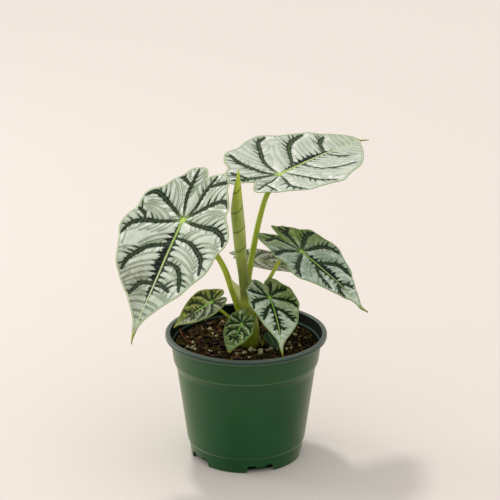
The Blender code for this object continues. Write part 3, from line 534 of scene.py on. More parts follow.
def smooth_curve(controls, steps=8):
    """Points of a Catmull-Rom curve through the controls."""
    controls = np.array(controls, float)
    padded = np.vstack([2 * controls[0] - controls[1], controls, 2 * controls[-1] - controls[-2]])
    points = []
    for before, start, end, after in zip(padded, padded[1:], padded[2:], padded[3:]):
        for step in range(steps):
            t = step / steps
            points.append(0.5 * (2 * start + (end - before) * t
                                 + (2 * before - 5 * start + 4 * end - after) * t * t
                                 + (3 * start - before - 3 * end + after) * t ** 3))
    return np.array(points + [controls[-1]])


def curve_lengths(points):
    return np.concatenate([[0.0], np.cumsum(np.linalg.norm(np.diff(points, axis=0), axis=1))])


def at_lengths(points, marks):
    lengths = curve_lengths(points)
    return np.column_stack([np.interp(marks, lengths, column) for column in points.T])


def even_points(points, spacing):
    """Points a nearly even distance apart along a curve."""
    total = curve_lengths(points)[-1]
    count = max(1, round(total / spacing))
    return at_lengths(points, np.linspace(0, total, count + 1))


def nearest_on_line(points, line):
    """Each point's distance to a line of points, and how far along it the nearest place is."""
    lengths = curve_lengths(line)
    best = np.full(len(points), np.inf)
    along = np.zeros(len(points))
    for i, (start, end) in enumerate(zip(line, line[1:])):
        span = end - start
        share = np.clip((points - start) @ span / max(span @ span, 1e-12), 0, 1)
        distance = np.linalg.norm(points - start - share[:, None] * span, axis=1)
        nearer = distance < best
        best[nearer] = distance[nearer]
        along[nearer] = lengths[i] + share[nearer] * (lengths[i + 1] - lengths[i])
    return best, along


def inside_outline(points, outline):
    inside = np.zeros(len(points), bool)
    for start, end in zip(outline, np.roll(outline, -1, axis=0)):
        if start[1] == end[1]:
            continue
        spans = (start[1] > points[:, 1]) != (end[1] > points[:, 1])
        crossing = start[0] + (end[0] - start[0]) * (points[:, 1] - start[1]) / (end[1] - start[1])
        inside ^= spans & (points[:, 0] < crossing)
    return inside


# Meshes

def mesh_object(name, points, faces, *materials):
    """A smooth object from points in millimetres."""
    mesh = bpy.data.meshes.new(name)
    mesh.from_pydata((np.asarray(points) * MM).tolist(), [], [tuple(f) for f in faces])
    mesh.shade_smooth()
    for material in materials:
        mesh.materials.append(material)
    obj = bpy.data.objects.new(name, mesh)
    bpy.context.collection.objects.link(obj)
    return obj


def settle(obj, slot, *nodes):
    """Put a finished piece on the part in place of the nodes that it stands for."""
    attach(obj, "root")
    if nodes:
        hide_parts(*nodes)


def write_vectors(mesh, name, values, domain="POINT"):
    attribute = mesh.attributes.new(name, "FLOAT_VECTOR", domain)
    attribute.data.foreach_set("vector", np.asarray(values, np.float32).ravel())


def write_map(mesh, values):
    layer = mesh.uv_layers.new(name="OFBake")
    layer.uv.foreach_set("vector", np.asarray(values, np.float32).ravel())


def apply_modifiers(obj):
    graph = bpy.context.evaluated_depsgraph_get()
    mesh = bpy.data.meshes.new_from_object(obj.evaluated_get(graph))
    obj.modifiers.clear()
    obj.data = mesh


def filled_outline(outline, lines, spacing):
    """Even triangles inside an outline, with edges along some lines."""
    points = [tuple(p) for p in outline]
    edges = [(i, (i + 1) % len(points)) for i in range(len(points))]
    for line in lines:
        edges += [(len(points) + i, len(points) + i + 1) for i in range(len(line) - 1)]
        points += [tuple(p) for p in line]
    tree = kdtree.KDTree(len(points))
    for i, p in enumerate(points):
        tree.insert((p[0], p[1], 0), i)
    tree.balance()
    low, high = outline.min(0), outline.max(0)
    row_height = spacing * math.sqrt(0.75)
    rows = np.arange(low[1], high[1], row_height)
    grid = np.array([(x, y) for i, y in enumerate(rows)
                     for x in np.arange(low[0] + 0.5 * spacing * (i % 2), high[0], spacing)])
    grid = grid[inside_outline(grid, outline)]
    points += [tuple(p) for p in grid if tree.find((p[0], p[1], 0))[2] > 0.6 * spacing]
    flat, _, faces, *_ = delaunay_2d_cdt([Vector(p) for p in points], edges, [], 1, 1e-4)
    flat = np.array([tuple(p) for p in flat])
    faces = np.array([f for f in faces if len(f) == 3])
    a, b, c = (flat[faces[:, i]] for i in range(3))
    flipped = cross(b - a, c - a) < 0
    faces[flipped] = faces[flipped][:, ::-1]
    return flat, faces


def rim_edges(faces):
    """Directed edges that only one triangle uses."""
    seen = {(a, b) for face in faces.tolist() for a, b in zip(face, face[1:] + face[:1])}
    return sorted((a, b) for a, b in seen if (b, a) not in seen)


def tube(centres, radii, sides, alongs=None, shape=None):
    """A closed tube. The shape gives each ring's radius as a share, by angle and ring."""
    centres = np.asarray(centres, float)
    if alongs is None:
        alongs = np.gradient(centres, axis=0)
    alongs = alongs / np.linalg.norm(alongs, axis=1)[:, None]
    angles = math.tau * np.arange(sides) / sides
    side_dir = np.array([1.0, 0, 0])
    points = []
    for i, (centre, along) in enumerate(zip(centres, alongs)):
        side_dir = side_dir - along * (side_dir @ along)
        side_dir /= np.linalg.norm(side_dir)
        other_dir = np.cross(along, side_dir)
        reach = radii[i] * (np.ones(sides) if shape is None else shape(angles, i))
        ring = np.outer(np.cos(angles) * reach, side_dir) + np.outer(np.sin(angles) * reach, other_dir)
        points.append(centre + ring)
    points = np.vstack(points)
    faces = [tuple(reversed(range(sides)))]
    for i in range(len(centres) - 1):
        for s in range(sides):
            low, low_next = i * sides + s, i * sides + (s + 1) % sides
            faces.append((low, low_next, low_next + sides, low + sides))
    top = (len(centres) - 1) * sides
    faces.append(tuple(range(top, top + sides)))
    return points, faces


def tube_map(mesh, rings, sides, length, girth):
    """Lay a tube out flat: round it to the right and along it upwards."""
    scale = 1 / max(length, girth, 1e-6)
    values = []
    for polygon in mesh.polygons:
        numbers = list(polygon.vertices)
        if len(numbers) > 4:
            for number in numbers:
                angle = math.tau * (number % sides) / sides
                end = 0.0 if number < sides else 1.0
                values.append((0.9 + 0.04 * math.cos(angle), 0.1 + 0.2 * end + 0.04 * math.sin(angle)))
            continue
        first = min(n % sides for n in numbers)
        for number in numbers:
            around = number % sides
            if first == 0 and around == sides - 1:
                around = -1
            share = (around + 1) / sides
            values.append((0.8 * share * girth * scale, (number // sides) / (rings - 1) * length * scale))
    write_map(mesh, values)


# Leaves: form

def leaf_axes(leaf):
    heading, droop, roll = (math.radians(a) for a in (leaf.heading, leaf.droop, leaf.roll))
    level = np.array([math.sin(heading), -math.cos(heading), 0.0])
    ahead = np.array([math.cos(heading), math.sin(heading), 0.0])
    forward = ahead * math.cos(droop) - np.array([0, 0, math.sin(droop)])
    across = level * math.cos(roll) - np.cross(level, forward) * math.sin(roll)
    return across, forward, np.cross(across, forward)


def leaf_surface(leaf, flat, height):
    """World places of points of the blade, and the blade's normals there."""
    across, forward, normal = leaf_axes(leaf)
    u, v = flat[:, 0], flat[:, 1]
    bend = np.where(v > 0, leaf.bend_tip, leaf.bend_back) * MM
    angle = bend * v
    rise = leaf.keel * (np.hypot(u, KEEL_ROUND) - KEEL_ROUND) + height
    along = np.sin(angle) / bend + rise * np.sin(angle)
    above = -(1 - np.cos(angle)) / bend + rise * np.cos(angle)
    normals = np.outer(np.cos(angle), normal) + np.outer(np.sin(angle), forward)
    places = (np.array(leaf.junction) + np.outer(u, across) + np.outer(along, forward)
              + np.outer(above, normal))
    return places, normals


def leaf_outline(leaf, spacing):
    tip = (leaf.tip[0], leaf.tip[1] - TIP_TRIM)
    right = even_points(smooth_curve([tip] + leaf.right + [leaf.sinus]), spacing)
    left = even_points(smooth_curve([leaf.sinus] + leaf.left[::-1] + [tip]), spacing)
    return np.vstack([right[:-1], left[:-1]]) * OUTLINE_SHARE


def midrib_line(leaf):
    """From the junction to the root of the tail, straight and then with the tail's turn."""
    end = (np.array(leaf.right[0]) + leaf.left[0]) / 2
    controls = [(0, 0), (0, 0.3 * end[1]), (0.04 * end[0], 0.6 * end[1]), tuple(end)]
    return even_points(smooth_curve(controls), leaf.step)


def turned(direction, degrees):
    angle = math.radians(degrees)
    return np.array([direction[0] * math.cos(angle) - direction[1] * math.sin(angle),
                     direction[0] * math.sin(angle) + direction[1] * math.cos(angle)])


def grow_branch(start, along, angles, side, reach, outline, others, grown):
    """One side vein: it leaves along a line, turns steadily and stops near anything else."""
    place, path = np.array(start), [np.array(start)]
    count = int(reach / BRANCH_STEP)
    barriers = [(outline, EDGE_CLEAR, 0), (others, VEIN_CLEAR, 3)]
    if grown:
        barriers.append((np.vstack(grown), BRANCH_CLEAR, 3))
    for i in range(count):
        share = i / max(count - 1, 1)
        turn = side * (angles[0] + (angles[1] - angles[0]) * share)
        place = place + turned(along, turn) * BRANCH_STEP
        if any(i >= first and np.linalg.norm(line - place, axis=1).min() < clear
               for line, clear, first in barriers):
            break
        path.append(place)
    return np.array(path)


def branch_starts(leaf, lines, draw):
    """Where side veins leave the midrib and the main veins, strongest first.

    A main vein's strong side veins leave on the side away from the tip.
    """
    length = leaf.tip[1]
    pitch = BRANCH_PITCH + BRANCH_PITCH_SHARE * length
    starts = []
    for number, line in enumerate(lines):
        total = curve_lengths(line)[-1]
        back_side = 1 if line[:, 0].mean() < 0 else -1
        to_lobe = line[-1, 1] < -0.2 * length
        for side in (-1, 1):
            first = 0.10 * total + (0.2 if side > 0 else 0.7) * pitch
            for mark in np.arange(first, 0.95 * total, pitch):
                mark = min(mark + draw.uniform(-0.25, 0.25) * pitch, 0.96 * total)
                share = mark / total
                if number == 0:
                    angles, room = RIB_ANGLES, 0.36 * length
                    dark = draw.uniform(0.6, 1.1) if 0.16 < share < 0.66 else 0.2
                elif side == back_side:
                    angles, room = BACK_ANGLES, 0.34 * length
                    dark = draw.uniform(0.5, 1.1) if share > 0.42 else 0.25
                else:
                    angles, room, dark = FORE_ANGLES, 0.16 * length, 0.1
                if to_lobe and share < 0.4:
                    continue
                if to_lobe:
                    dark, room = 0.6 * dark, 0.6 * room
                starts.append((dark, number, mark, side, angles, room * draw.uniform(0.8, 1.15)))
    return sorted(starts, key=lambda item: (-item[0], item[1], item[2]))


def grow_branches(leaf, midrib, veins, outline, draw):
    """Side veins that never cross, with how dark each is."""
    lines = [midrib] + veins
    branches = []
    for dark, number, mark, side, angles, room in branch_starts(leaf, lines, draw):
        line = lines[number]
        total = curve_lengths(line)[-1]
        ends = at_lengths(line, [max(mark - 0.5, 0), mark, min(mark + 0.5, total)])
        along = (ends[2] - ends[0]) / np.linalg.norm(ends[2] - ends[0])
        others = np.vstack([l for i, l in enumerate(lines) if i != number])
        path = grow_branch(ends[1], along, angles, side, room, outline, others,
                           [path for path, _ in branches])
        if curve_lengths(path)[-1] > BRANCH_LEAST:
            branches.append((path, dark))
    return branches


def vein_marks(flat, leaf, midrib, veins):
    """For each main vein and point: distance in half widths, place along, distance and side."""
    length = leaf.tip[1]
    width = VEIN_HALF_WIDTH + VEIN_HALF_WIDTH_SHARE * length
    marks = []
    for i, line in enumerate([midrib] + veins):
        distance, along = nearest_on_line(flat, line)
        total = curve_lengths(line)[-1]
        share = along / total
        to_right = line[:, 0].mean() > 0
        half = width * (0.4 + 1.1 * share ** 0.8 * (1 - 0.86 * share ** 4))
        half *= leaf.vein_widths[0 if to_right else 1]
        if total < 0.2 * length or line[-1, 1] < -0.2 * length:
            half *= THIN_VEIN
        ahead = at_lengths(line, np.minimum(along + COURSE_STEP, total))
        behind = at_lengths(line, np.maximum(along - COURSE_STEP, 0))
        side = np.sign(cross(ahead - behind, flat - behind)) * (1 if to_right else -1)
        marks.append((distance / half, along + VEIN_APART * i, distance, side * (i > 0)))
    return np.swapaxes(marks, 0, 1)


def branch_marks(flat, branches, dark_length):
    """Each point's distance to the nearest side vein, and how dark that vein is there."""
    distance = np.full(len(flat), FAR_AWAY)
    dark = np.zeros(len(flat))
    for path, strength in branches:
        low, high = path.min(0) - 3, path.max(0) + 3
        near = np.nonzero(((flat > low) & (flat < high)).all(axis=1))[0]
        if not len(near):
            continue
        away, along = nearest_on_line(flat[near], path)
        better = away < distance[near]
        chosen = near[better]
        distance[chosen] = away[better]
        dark[chosen] = strength * np.clip(1 - along[better] / dark_length, 0, 1)
    return distance, dark


def leaf_heights(leaf, flat, aways, branch_distance, edge):
    """Height of the upper face over the folded plane, with the frame's own form in it."""
    length = leaf.tip[1]
    quilt = np.zeros(len(flat))
    if leaf.veins:
        nearest = aways.min(0)
        quilt = QUILT_HEIGHT * length * (1 - hump(nearest, QUILT_WIDTH * length))
        quilt -= PUCKER * length * hump(branch_distance, 1.1) * np.minimum(nearest / 2, 1)
        rib = RIB_RISE * hump(aways[0], 0.75) * (flat[:, 1] > 0)
        quilt += rib * share_of(1 - flat[:, 1] / length)
    reach = np.hypot(flat[:, 0], flat[:, 1]) / length
    wave = np.sin(leaf.waves * np.arctan2(flat[:, 0], flat[:, 1]) + leaf.wave_phase)
    return quilt + WAVE_HEIGHT * length * reach ** 3 * wave - EDGE_LIP * np.exp(-edge / 0.5)


def leaf_thickness(leaf, flat, ratios, aways, edge):
    """Blade thickness: thin at the edge, with the veins standing out below."""
    height = flat[:, 1] / leaf.tip[1]
    body = 0.3 + 0.4 * share_of(edge / 1.5)
    body = np.maximum(body, 0.75 * share_of((height - 0.82) / 0.1))
    if not leaf.veins:
        return body
    size = leaf.tip[1] / LARGE_BLADE
    fade = share_of(1 - np.abs(height))
    midrib = (0.35 + 0.9 * size) * hump(aways[0], 0.7 + 0.7 * size) * fade * (flat[:, 1] > -1)
    side = (0.2 + 0.5 * size) * hump(1.3 * ratios[1:].min(0), 1) * (0.3 + 0.7 * fade)
    return body + np.maximum(midrib, side) * share_of(edge / 2)


def build_blade(leaf, upper, lower):
    draw = random.Random(leaf.name)
    length = leaf.tip[1]
    outline = leaf_outline(leaf, leaf.step * 0.9)
    midrib = midrib_line(leaf)
    veins = [even_points(smooth_curve(vein), leaf.step) for vein in leaf.veins]
    branches = grow_branches(leaf, midrib, veins, outline, draw) if veins else []
    lines = [midrib] + veins if veins else []
    lines += [even_points(path, leaf.step) for path, _ in branches]
    flat, faces = filled_outline(outline, lines, leaf.step)
    edge, _ = nearest_on_line(flat, np.vstack([outline, outline[:1]]))
    ratios, alongs, aways, sides = vein_marks(flat, leaf, midrib, veins)
    dark_length = BRANCH_DARK + BRANCH_DARK_SHARE * length
    branch_distance, branch_dark = branch_marks(flat, branches, dark_length)
    height = leaf_heights(leaf, flat, aways, branch_distance, edge)
    top, normals = leaf_surface(leaf, flat, height)
    bottom = top - normals * leaf_thickness(leaf, flat, ratios, aways, edge)[:, None]

    count = len(flat)
    solid = faces.tolist() + (faces[:, ::-1] + count).tolist()
    for a, b in rim_edges(faces):
        solid += [(b, a, a + count), (b, a + count, b + count)]
    blade = mesh_object(leaf.name + FINE, np.vstack([top, bottom]), solid, upper, lower)
    mesh = blade.data
    slots = np.zeros(len(solid), np.int32)
    slots[len(faces):2 * len(faces)] = 1
    mesh.polygons.foreach_set("material_index", slots)

    share = flat[:, 1] / length
    band = BAND_SHARE * length * share_of(0.3 + share / 0.32)
    band *= np.where(flat[:, 0] > 0, *leaf.band_widths)
    band *= 1 - 0.96 * share_of((share - 0.38) / 0.34)
    band = np.maximum(band, 0.05)
    rib_width = (0.54 + 0.0078 * length) * (1 - 0.76 * share_of(share) ** 0.7)
    rib_width[share < 0] *= 0.4
    side_ratio = ratios[1:].min(0) if veins else np.full(count, FAR_AWAY)
    off_rib = np.where(share > 0, aways[0], np.abs(flat[:, 0]))
    vectors = {
        "leaf": np.column_stack([flat, edge]),
        "marks": np.column_stack([side_ratio, branch_distance, branch_dark]),
        "rib": np.column_stack([off_rib / band, off_rib / rib_width, share]),
    }
    for name, values in vectors.items():
        write_vectors(mesh, name, np.vstack([values, values]))
    write_flow(mesh, solid, count, ratios, (alongs, aways, sides))
    write_leaf_map(mesh, solid, flat, outline, len(faces))
    settle(blade, slot_of(leaf.name), leaf.name)


def write_flow(mesh, solid, count, ratios, marks):
    """Each face's corners against its nearest main vein: place along it, distance and side."""
    corners = np.array(solid) % count
    chosen = ratios[:, corners].mean(2).argmin(0)[:, None]
    values = np.stack([mark[chosen, corners] for mark in marks], axis=2)
    write_vectors(mesh, "flow", values.reshape(-1, 3), "CORNER")


def write_leaf_map(mesh, solid, flat, outline, face_count):
    """Both faces of a blade side by side on one map, with the thin rim round the upper one."""
    low = outline.min(0) - 2
    span = outline.max(0) + 2 - low
    scale = 1 / max(2 * span[0], span[1])
    count = len(flat)
    numbers = np.array(solid)
    spots = (flat[numbers % count] - low) * scale
    lower = np.zeros(len(solid), bool)
    lower[face_count:2 * face_count] = True
    spots[lower, :, 0] += span[0] * scale
    rim = np.zeros(len(solid), bool)
    rim[2 * face_count:] = True
    outward = flat - outline.mean(0)
    outward /= np.maximum(np.linalg.norm(outward, axis=1), 1e-6)[:, None]
    pushed = spots + 0.5 * scale * outward[numbers % count]
    below = (numbers >= count) & rim[:, None]
    spots[below] = pushed[below]
    write_map(mesh, spots.reshape(-1, 2))


def slot_of(name):
    """The record's material slot of a node."""
    return next(s["material_slot"] for s in frame["record"]["subparts"] if s["node"] == name)


# Leaves: materials

def blade_material(name, look, length):
    """The upper face: quilted panels with painted shade and highlights, combed dark veins, a light midrib
    and a pale margin.
    """
    g = Nodes(name, 0.45, 0.16)
    u, v, edge = g.attribute("leaf")
    edge = edge / (0.45 + 0.0055 * length)
    vein, branch, dark = g.attribute("marks")
    band, rib, share = g.attribute("rib")
    along, away, side = g.attribute("flow")
    flat = g.join(u, v)

    streak = g.noise((along * 1.35, away * 0.2), 1, 3, 0.6)
    tooth = g.noise((along * 1.25, away * 0.1, 7.0), 1, 2, 0.6)
    long_tooth = g.noise((along * 0.5, away * 0.05, 3.0), 1, 2, 0.6)
    grain = g.noise(flat, 2.6, 4, 0.65)
    cloud = g.noise(flat, 0.13) - 0.5

    close = away.step(6.5, 0.6)
    # painted shade in the furrows beside the side veins, and a pale line on each side vein itself
    valley_shade_and_vein_line = branch.step(0.3, 1.25, -look.pleat, 0) + branch.step(0.3, 0.1, 0, look.pleat)
    # painted highlight: pale streaks beside each main vein, on its tip side
    gleam = close * side.step(0, 0.5) * streak.step(0.48, 0.6) * 0.3
    # close * side is painted light on the tip side of each main vein and painted shade on its basal side
    tone = ((streak - 0.5) * look.streaks + cloud * 0.4 + (grain - 0.5) * 0.25 + look.tone + valley_shade_and_vein_line
            + close * side * 0.15 + share.step(0.15, 0.8, 0, -look.tip_shade) + gleam)
    towards_u, towards_v, starts, full = look.green_from
    greenness = (u * towards_u + v * towards_v + cloud * 14).step(starts, full)
    g.base(greenness, g.ramp(tone, look.silver), g.ramp(tone, look.green))
    # painted shade: brown-grey shade where the blade folds, on its right half along the middle of the
    # midrib
    bronze = share.band(0.34, 0.5, 0.68, 0.88) * u.step(2, 9) * streak.step(0.62, 0.4, 0.35, 1)
    g.coat(bronze * look.bronze, "706658")

    jag = (tooth - 0.5) * 4.6
    branch_line = ((branch + jag * 0.12) / (dark * 0.72 + 0.16)).step(1.3, 0.6) * dark.step(0.04, 0.4)
    g.coat(branch_line, g.mix(dark.step(0.08, 0.35), look.silver[0], look.vein))
    ragged = jag * 0.35 + (long_tooth - 0.5) * 2.6 + branch.step(1.3, 0.1, 0, -0.7)
    ragged = g.math("MINIMUM", g.math("MAXIMUM", ragged, -0.9), 0.45)
    g.coat((band + ragged).step(1.12, 0.8) * share.step(0, 0.05), look.band)
    g.coat((vein + jag * 0.8).step(1.8, 0.9) * 0.45, look.silver[0])
    vein_line = (vein + jag * 0.5).step(1.1, 0.88)
    g.coat(vein_line, g.mix(vein.step(0.34, 0.08) * look.heart, look.vein, look.rib))

    from_stem = g.add("VectorMath", {0: flat}, "Value", operation="LENGTH")
    g.coat(from_stem.step(0.1 * length, 0.01 * length) * vein.step(0.8, 0.3), look.rib)
    rib_colour = g.mix(share.step(0.1, 0.7), look.rib, look.margin)
    # painted highlight: a lighter line down the crest of the midrib
    rib_colour = g.mix(rib.step(0.1, 0.9, 0.3, 0), rib_colour, "c4d678")
    rib_length = share.step(look.rib_end, 0.6 * look.rib_end)
    g.coat(rib.step(1.15, 0.8) * share.step(-0.03, 0) * rib_length, rib_colour)
    g.coat(from_stem.step(0.036 * length, 0.01 * length, 0, 0.75), "bed85c")

    g.coat(edge.band(0.9, 1.35, 1.45, 1.9) * 0.6, look.silver[0])
    g.coat(edge.step(1.25, 0.85, 0, 0.85), look.margin)
    g.coat(edge.step(0.5, 0.2), look.edge)
    g.coat(share.step(*look.tail, 0, 0.85), "8e942e")
    dry_from = 0.5 + 0.5 * look.tail[1]
    g.coat(share.step(dry_from, 0.4 + 0.6 * dry_from), look.dry)

    relief = streak * 0.6 + grain * 0.35 - branch_line * 0.3 - vein_line * 0.4
    g.bump(relief + branch.step(1.1, 0, 0, -0.8), 0.4, 0.8)
    return g.finish(grain * 0.2 + vein_line * 0.08 + 0.32)


def underside_material(name, look):
    """The lower face: pale matt green with raised light veins."""
    g = Nodes(name, 0.6, 0.3)
    u, v, edge = g.attribute("leaf")
    vein, branch, _ = g.attribute("marks")
    _, rib, share = g.attribute("rib")
    flat = g.join(u, v)
    pale = g.mix(0.55, look.silver[1], "8ca076")
    deep = g.mix(0.5, look.silver[0], "5c744a")
    g.base(g.noise(flat, 0.3, 4, 0.6).step(0.35, 0.65), pale, deep)
    g.coat(branch.step(0.8, 0.15, 0, 0.45), "9cac70")
    g.coat(vein.step(1.3, 0.5), "9eae60")
    g.coat(rib.step(2.2, 1) * share.step(-0.03, 0), "9cac4e")
    g.coat(edge.step(0.9, 0.5), look.margin)
    g.coat(share.step(0.9, 0.98), "808434")
    g.bump(g.noise(flat, 3, 3, 0.6) * 0.5 + branch.step(0.6, 0.1, 0, 0.4), 0.3, 0.7)
    return g.finish()


# Stems, crown and new leaf

def stem_curve(leaf):
    """The stem's line, which ends square to the blade at its lower face."""
    normal = leaf_axes(leaf)[2]
    junction = np.array(leaf.junction)
    turn = min(STEM_TURN, STEM_TURN_SHARE * leaf.tip[1])
    under = [junction - normal * (BLADE_THICKNESS + GAP + rise) for rise in (turn, 0.1)]
    curve = smooth_curve(leaf.stem + [tuple(p) for p in under])
    return np.vstack([curve, junction - normal * 0.35])


def stem_material():
    """Yellow-green stem with fine long streaks and dark speckles."""
    g = Nodes("stem_flesh", 0.42, 0.4)
    along, around, radius = g.attribute("stem")
    place, _, _, z = g.place()
    ridges = g.noise((along * 0.1, around * 5, radius), 1, 3, 0.6)
    speck = g.noise(place, 1.9, 3, 0.7)
    g.base(g.noise(place, 0.07).step(0.35, 0.65), "a8b622", "94aa1e")
    g.coat(ridges.step(0.42, 0.66, 0, 0.55), "bcc64a")
    g.coat(speck.step(0.58, 0.72, 0, 0.5), "68800e")
    g.coat(z.step(150, 188, 0, 0.35), "96a828")
    g.bump(ridges + speck * 0.5, 0.22, 0.7)
    return g.finish()


def build_stem(leaf, material):
    curve = stem_curve(leaf)
    total = curve_lengths(curve)[-1]
    rings = max(12, round(total / STEM_RING))
    marks = np.linspace(0.0, total, rings)
    alongs = (at_lengths(curve, np.minimum(marks + 0.5, total))
              - at_lengths(curve, np.maximum(marks - 0.5, 0)))
    low, high = leaf.stem_radii
    radii = (low + (high - low) * marks / total) * (1 + 0.35 * hump(total - marks, 0.9 * high + 0.6))
    angles = math.tau * np.arange(STEM_SIDES) / STEM_SIDES

    def shape(angles, i):
        groove = hump(np.mod(angles - GROOVE_ANGLE, math.tau) - math.pi, 0.35)
        return 1 + 0.025 * np.cos(5 * angles + 0.03 * marks[i]) - 0.05 * groove

    points, faces = tube(at_lengths(curve, marks), radii, STEM_SIDES, alongs, shape)
    node = leaf.name.replace("leaf", "stem", 1)
    stem = mesh_object(node + FINE, points, faces, material)
    around = np.tile(np.cos(angles) + 0.7 * np.sin(2 * angles), rings)
    write_vectors(stem.data, "stem", np.column_stack([np.repeat(marks, STEM_SIDES), around,
                                                      np.repeat(radii, STEM_SIDES)]))
    tube_map(stem.data, rings, STEM_SIDES, total, math.tau * low)
    settle(stem, "stem_green", node)


def crown_material():
    """Olive sheaths, paler and speckled above, tan on the right and dark at the soil."""
    g = Nodes("crown_flesh", 0.45, 0.3)
    place, x, y, z = g.place()
    fibre = g.noise((x * 1.3, y * 1.3, z * 0.07), 1, 3, 0.6)
    speck = g.noise(place, 1.7, 4, 0.75)
    g.base(fibre.step(0.38, 0.64), "aab840", "b6be60")
    g.coat((x + z * 0.22).step(21.6, 19),
           g.mix(fibre.step(0.4, 0.62), "849814", "9eac2c"))
    g.coat(z.step(86, 94) * x.step(-0.5, 4) * y.step(4, 0) * 0.4, "a89e68")
    g.coat(speck.step(0.52, 0.68, 0, 0.5), "707a2e")
    g.coat(speck.step(0.44, 0.34, 0, 0.35), "b6ba74")
    g.coat(z.step(100, 88, 0, 0.9), "768412")
    g.coat(z.step(81, 76, 0, 0.8), "302e0c")
    g.bump(fibre + speck * 0.4, 0.35, 0.8)
    return g.finish()


def membrane_material():
    """The pale papery edge of the sheath."""
    g = Nodes("sheath_membrane", 0.5, 0.3)
    _, x, y, z = g.place()
    fibre = g.noise((x * 1.6, y * 1.6, z * 0.12), 1, 3, 0.6)
    g.base(fibre.step(0.38, 0.64), "d6e28c", "ecf0b2")
    g.coat(z.step(116, 104, 0, 0.9), "96a83a")
    g.bump(fibre, 0.2, 0.7)
    return g.finish()


def membrane_shape():
    """A thin pale flap between the large left stem and the roll, torn off in a slanting edge."""
    lines = (stem_curve(LEAVES[0]), smooth_curve(NEW_LEAF_ROUTE))
    columns, rows = MEMBRANE_GRID
    sheets = []
    for depth in (0.0, MEMBRANE_THICKNESS):
        for column in range(columns):
            across = column / (columns - 1)
            top = MEMBRANE_TOP - 6.9 * across ** 0.9 + 0.2 * math.sin(11 * across)
            heights = np.linspace(MEMBRANE_FOOT, top, rows)
            sides = []
            for line, offset in zip(lines, MEMBRANE_OFFSETS):
                spots = [np.interp(heights, line[:, 2], line[:, i]) + offset[i] for i in (0, 1)]
                sides.append(np.column_stack([*spots, heights]))
            spots = sides[0] * (1 - across) + sides[1] * across
            spots[:, 1] += depth - 0.45 * math.sin(math.pi * across)
            sheets.append(spots)
    half = columns * rows
    faces = []
    for column in range(columns - 1):
        for a in range(column * rows, (column + 1) * rows - 1):
            face = (a, a + rows, a + rows + 1, a + 1)
            faces += [face, tuple(n + half for n in reversed(face))]
    rim = list(range(rows)) + [c * rows + rows - 1 for c in range(1, columns)]
    rim += list(range(half - 2, half - rows - 1, -1)) + [c * rows for c in range(columns - 2, 0, -1)]
    faces += [(a, b, b + half, a + half) for a, b in zip(rim, rim[1:] + rim[:1])]
    return np.vstack(sheets), [tuple(reversed(f)) for f in faces]


def build_crown(material, membrane):
    """One body of overlapping sheaths: core, stem feet and the thin sheath's flap."""
    route = smooth_curve(CROWN_ROUTE, 6)
    radii = smooth_curve([(r, 0) for r in CROWN_SKIN_RADII], 6)[:, 0]
    route[-1][2] = CROWN_TOP - GAP
    shapes = [tube(route, radii, 32)]
    for leaf in LEAVES[:-1]:
        curve = stem_curve(leaf)
        low, high = leaf.stem_radii
        marks = np.linspace(0, leaf.stub or FOOT_FUSED, 24)
        widths = low + (high - low) * marks / curve_lengths(curve)[-1]
        taper = 1.14 - 0.26 * share_of((marks - FOOT_FUSED) / 5)
        shapes.append(tube(at_lengths(curve, marks), widths * taper, STEM_SIDES))
    crown = gathered("crown" + FINE, shapes, material, membrane)
    remesh = crown.modifiers.new("one_skin", "REMESH")
    remesh.mode = "VOXEL"
    remesh.voxel_size = 0.4 * MM
    smooth = crown.modifiers.new("soften", "SMOOTH")
    smooth.factor = 0.5
    smooth.iterations = 6
    apply_modifiers(crown)
    add_shape(crown, *membrane_shape(), 1)
    crown.data.shade_smooth()
    settle(crown, "stem_green", "crown")


def add_shape(obj, points, faces, slot):
    """Add loose geometry in millimetres to an object's mesh."""
    mesh = bmesh.new()
    mesh.from_mesh(obj.data)
    made = [mesh.verts.new(Vector(p) * MM) for p in points]
    for face in faces:
        mesh.faces.new([made[n] for n in face]).material_index = slot
    mesh.to_mesh(obj.data)
    mesh.free()


def new_leaf_material():
    """Grey-olive roll with darker arcs of veins, a greener free edge and tip."""
    g = Nodes("rolled_leaf_flesh", 0.45, 0.4)
    height, sine, turn = g.attribute("roll")
    speck = g.noise(g.place()[0], 1.4, 3, 0.65)
    streak = g.noise((turn * 3, height * 0.08), 1, 3, 0.6)
    g.base(streak.step(0.35, 0.65), "8a9a3a", "9caa52")
    g.coat(sine.step(0.35, 0.95, 0, 0.5), "bec47e")
    g.coat(height.step(168, 196), "b2c43a")
    g.coat(height.step(148, 128, 0, 0.8), "687420")
    # painted light: the foot of the roll is made lighter to make up for the shade that the leaves around
    # it cast there
    g.coat(height.step(115, 106, 0, 0.9), "c4ce4c")
    g.coat(sine.step(-0.55, -0.95, 0, 0.6), "708e1c")
    rise = g.math("POWER", sine + 1, 2) * 1.25
    phase = g.math("FRACT", (height - rise - ARC_FIRST) / ARC_PITCH + 4)
    off_line = g.math("MINIMUM", phase, 1 - phase) * ARC_PITCH
    arcs = off_line.step(0.8, 0.3) * height.band(139, 142, 190, 194)
    g.coat(arcs * 0.88, "4e680e")
    g.coat(speck.step(0.55, 0.75, 0, 0.35), "687e36")
    g.bump(streak + speck * 0.4 - arcs * 0.8, 0.25, 0.8)
    return g.finish()


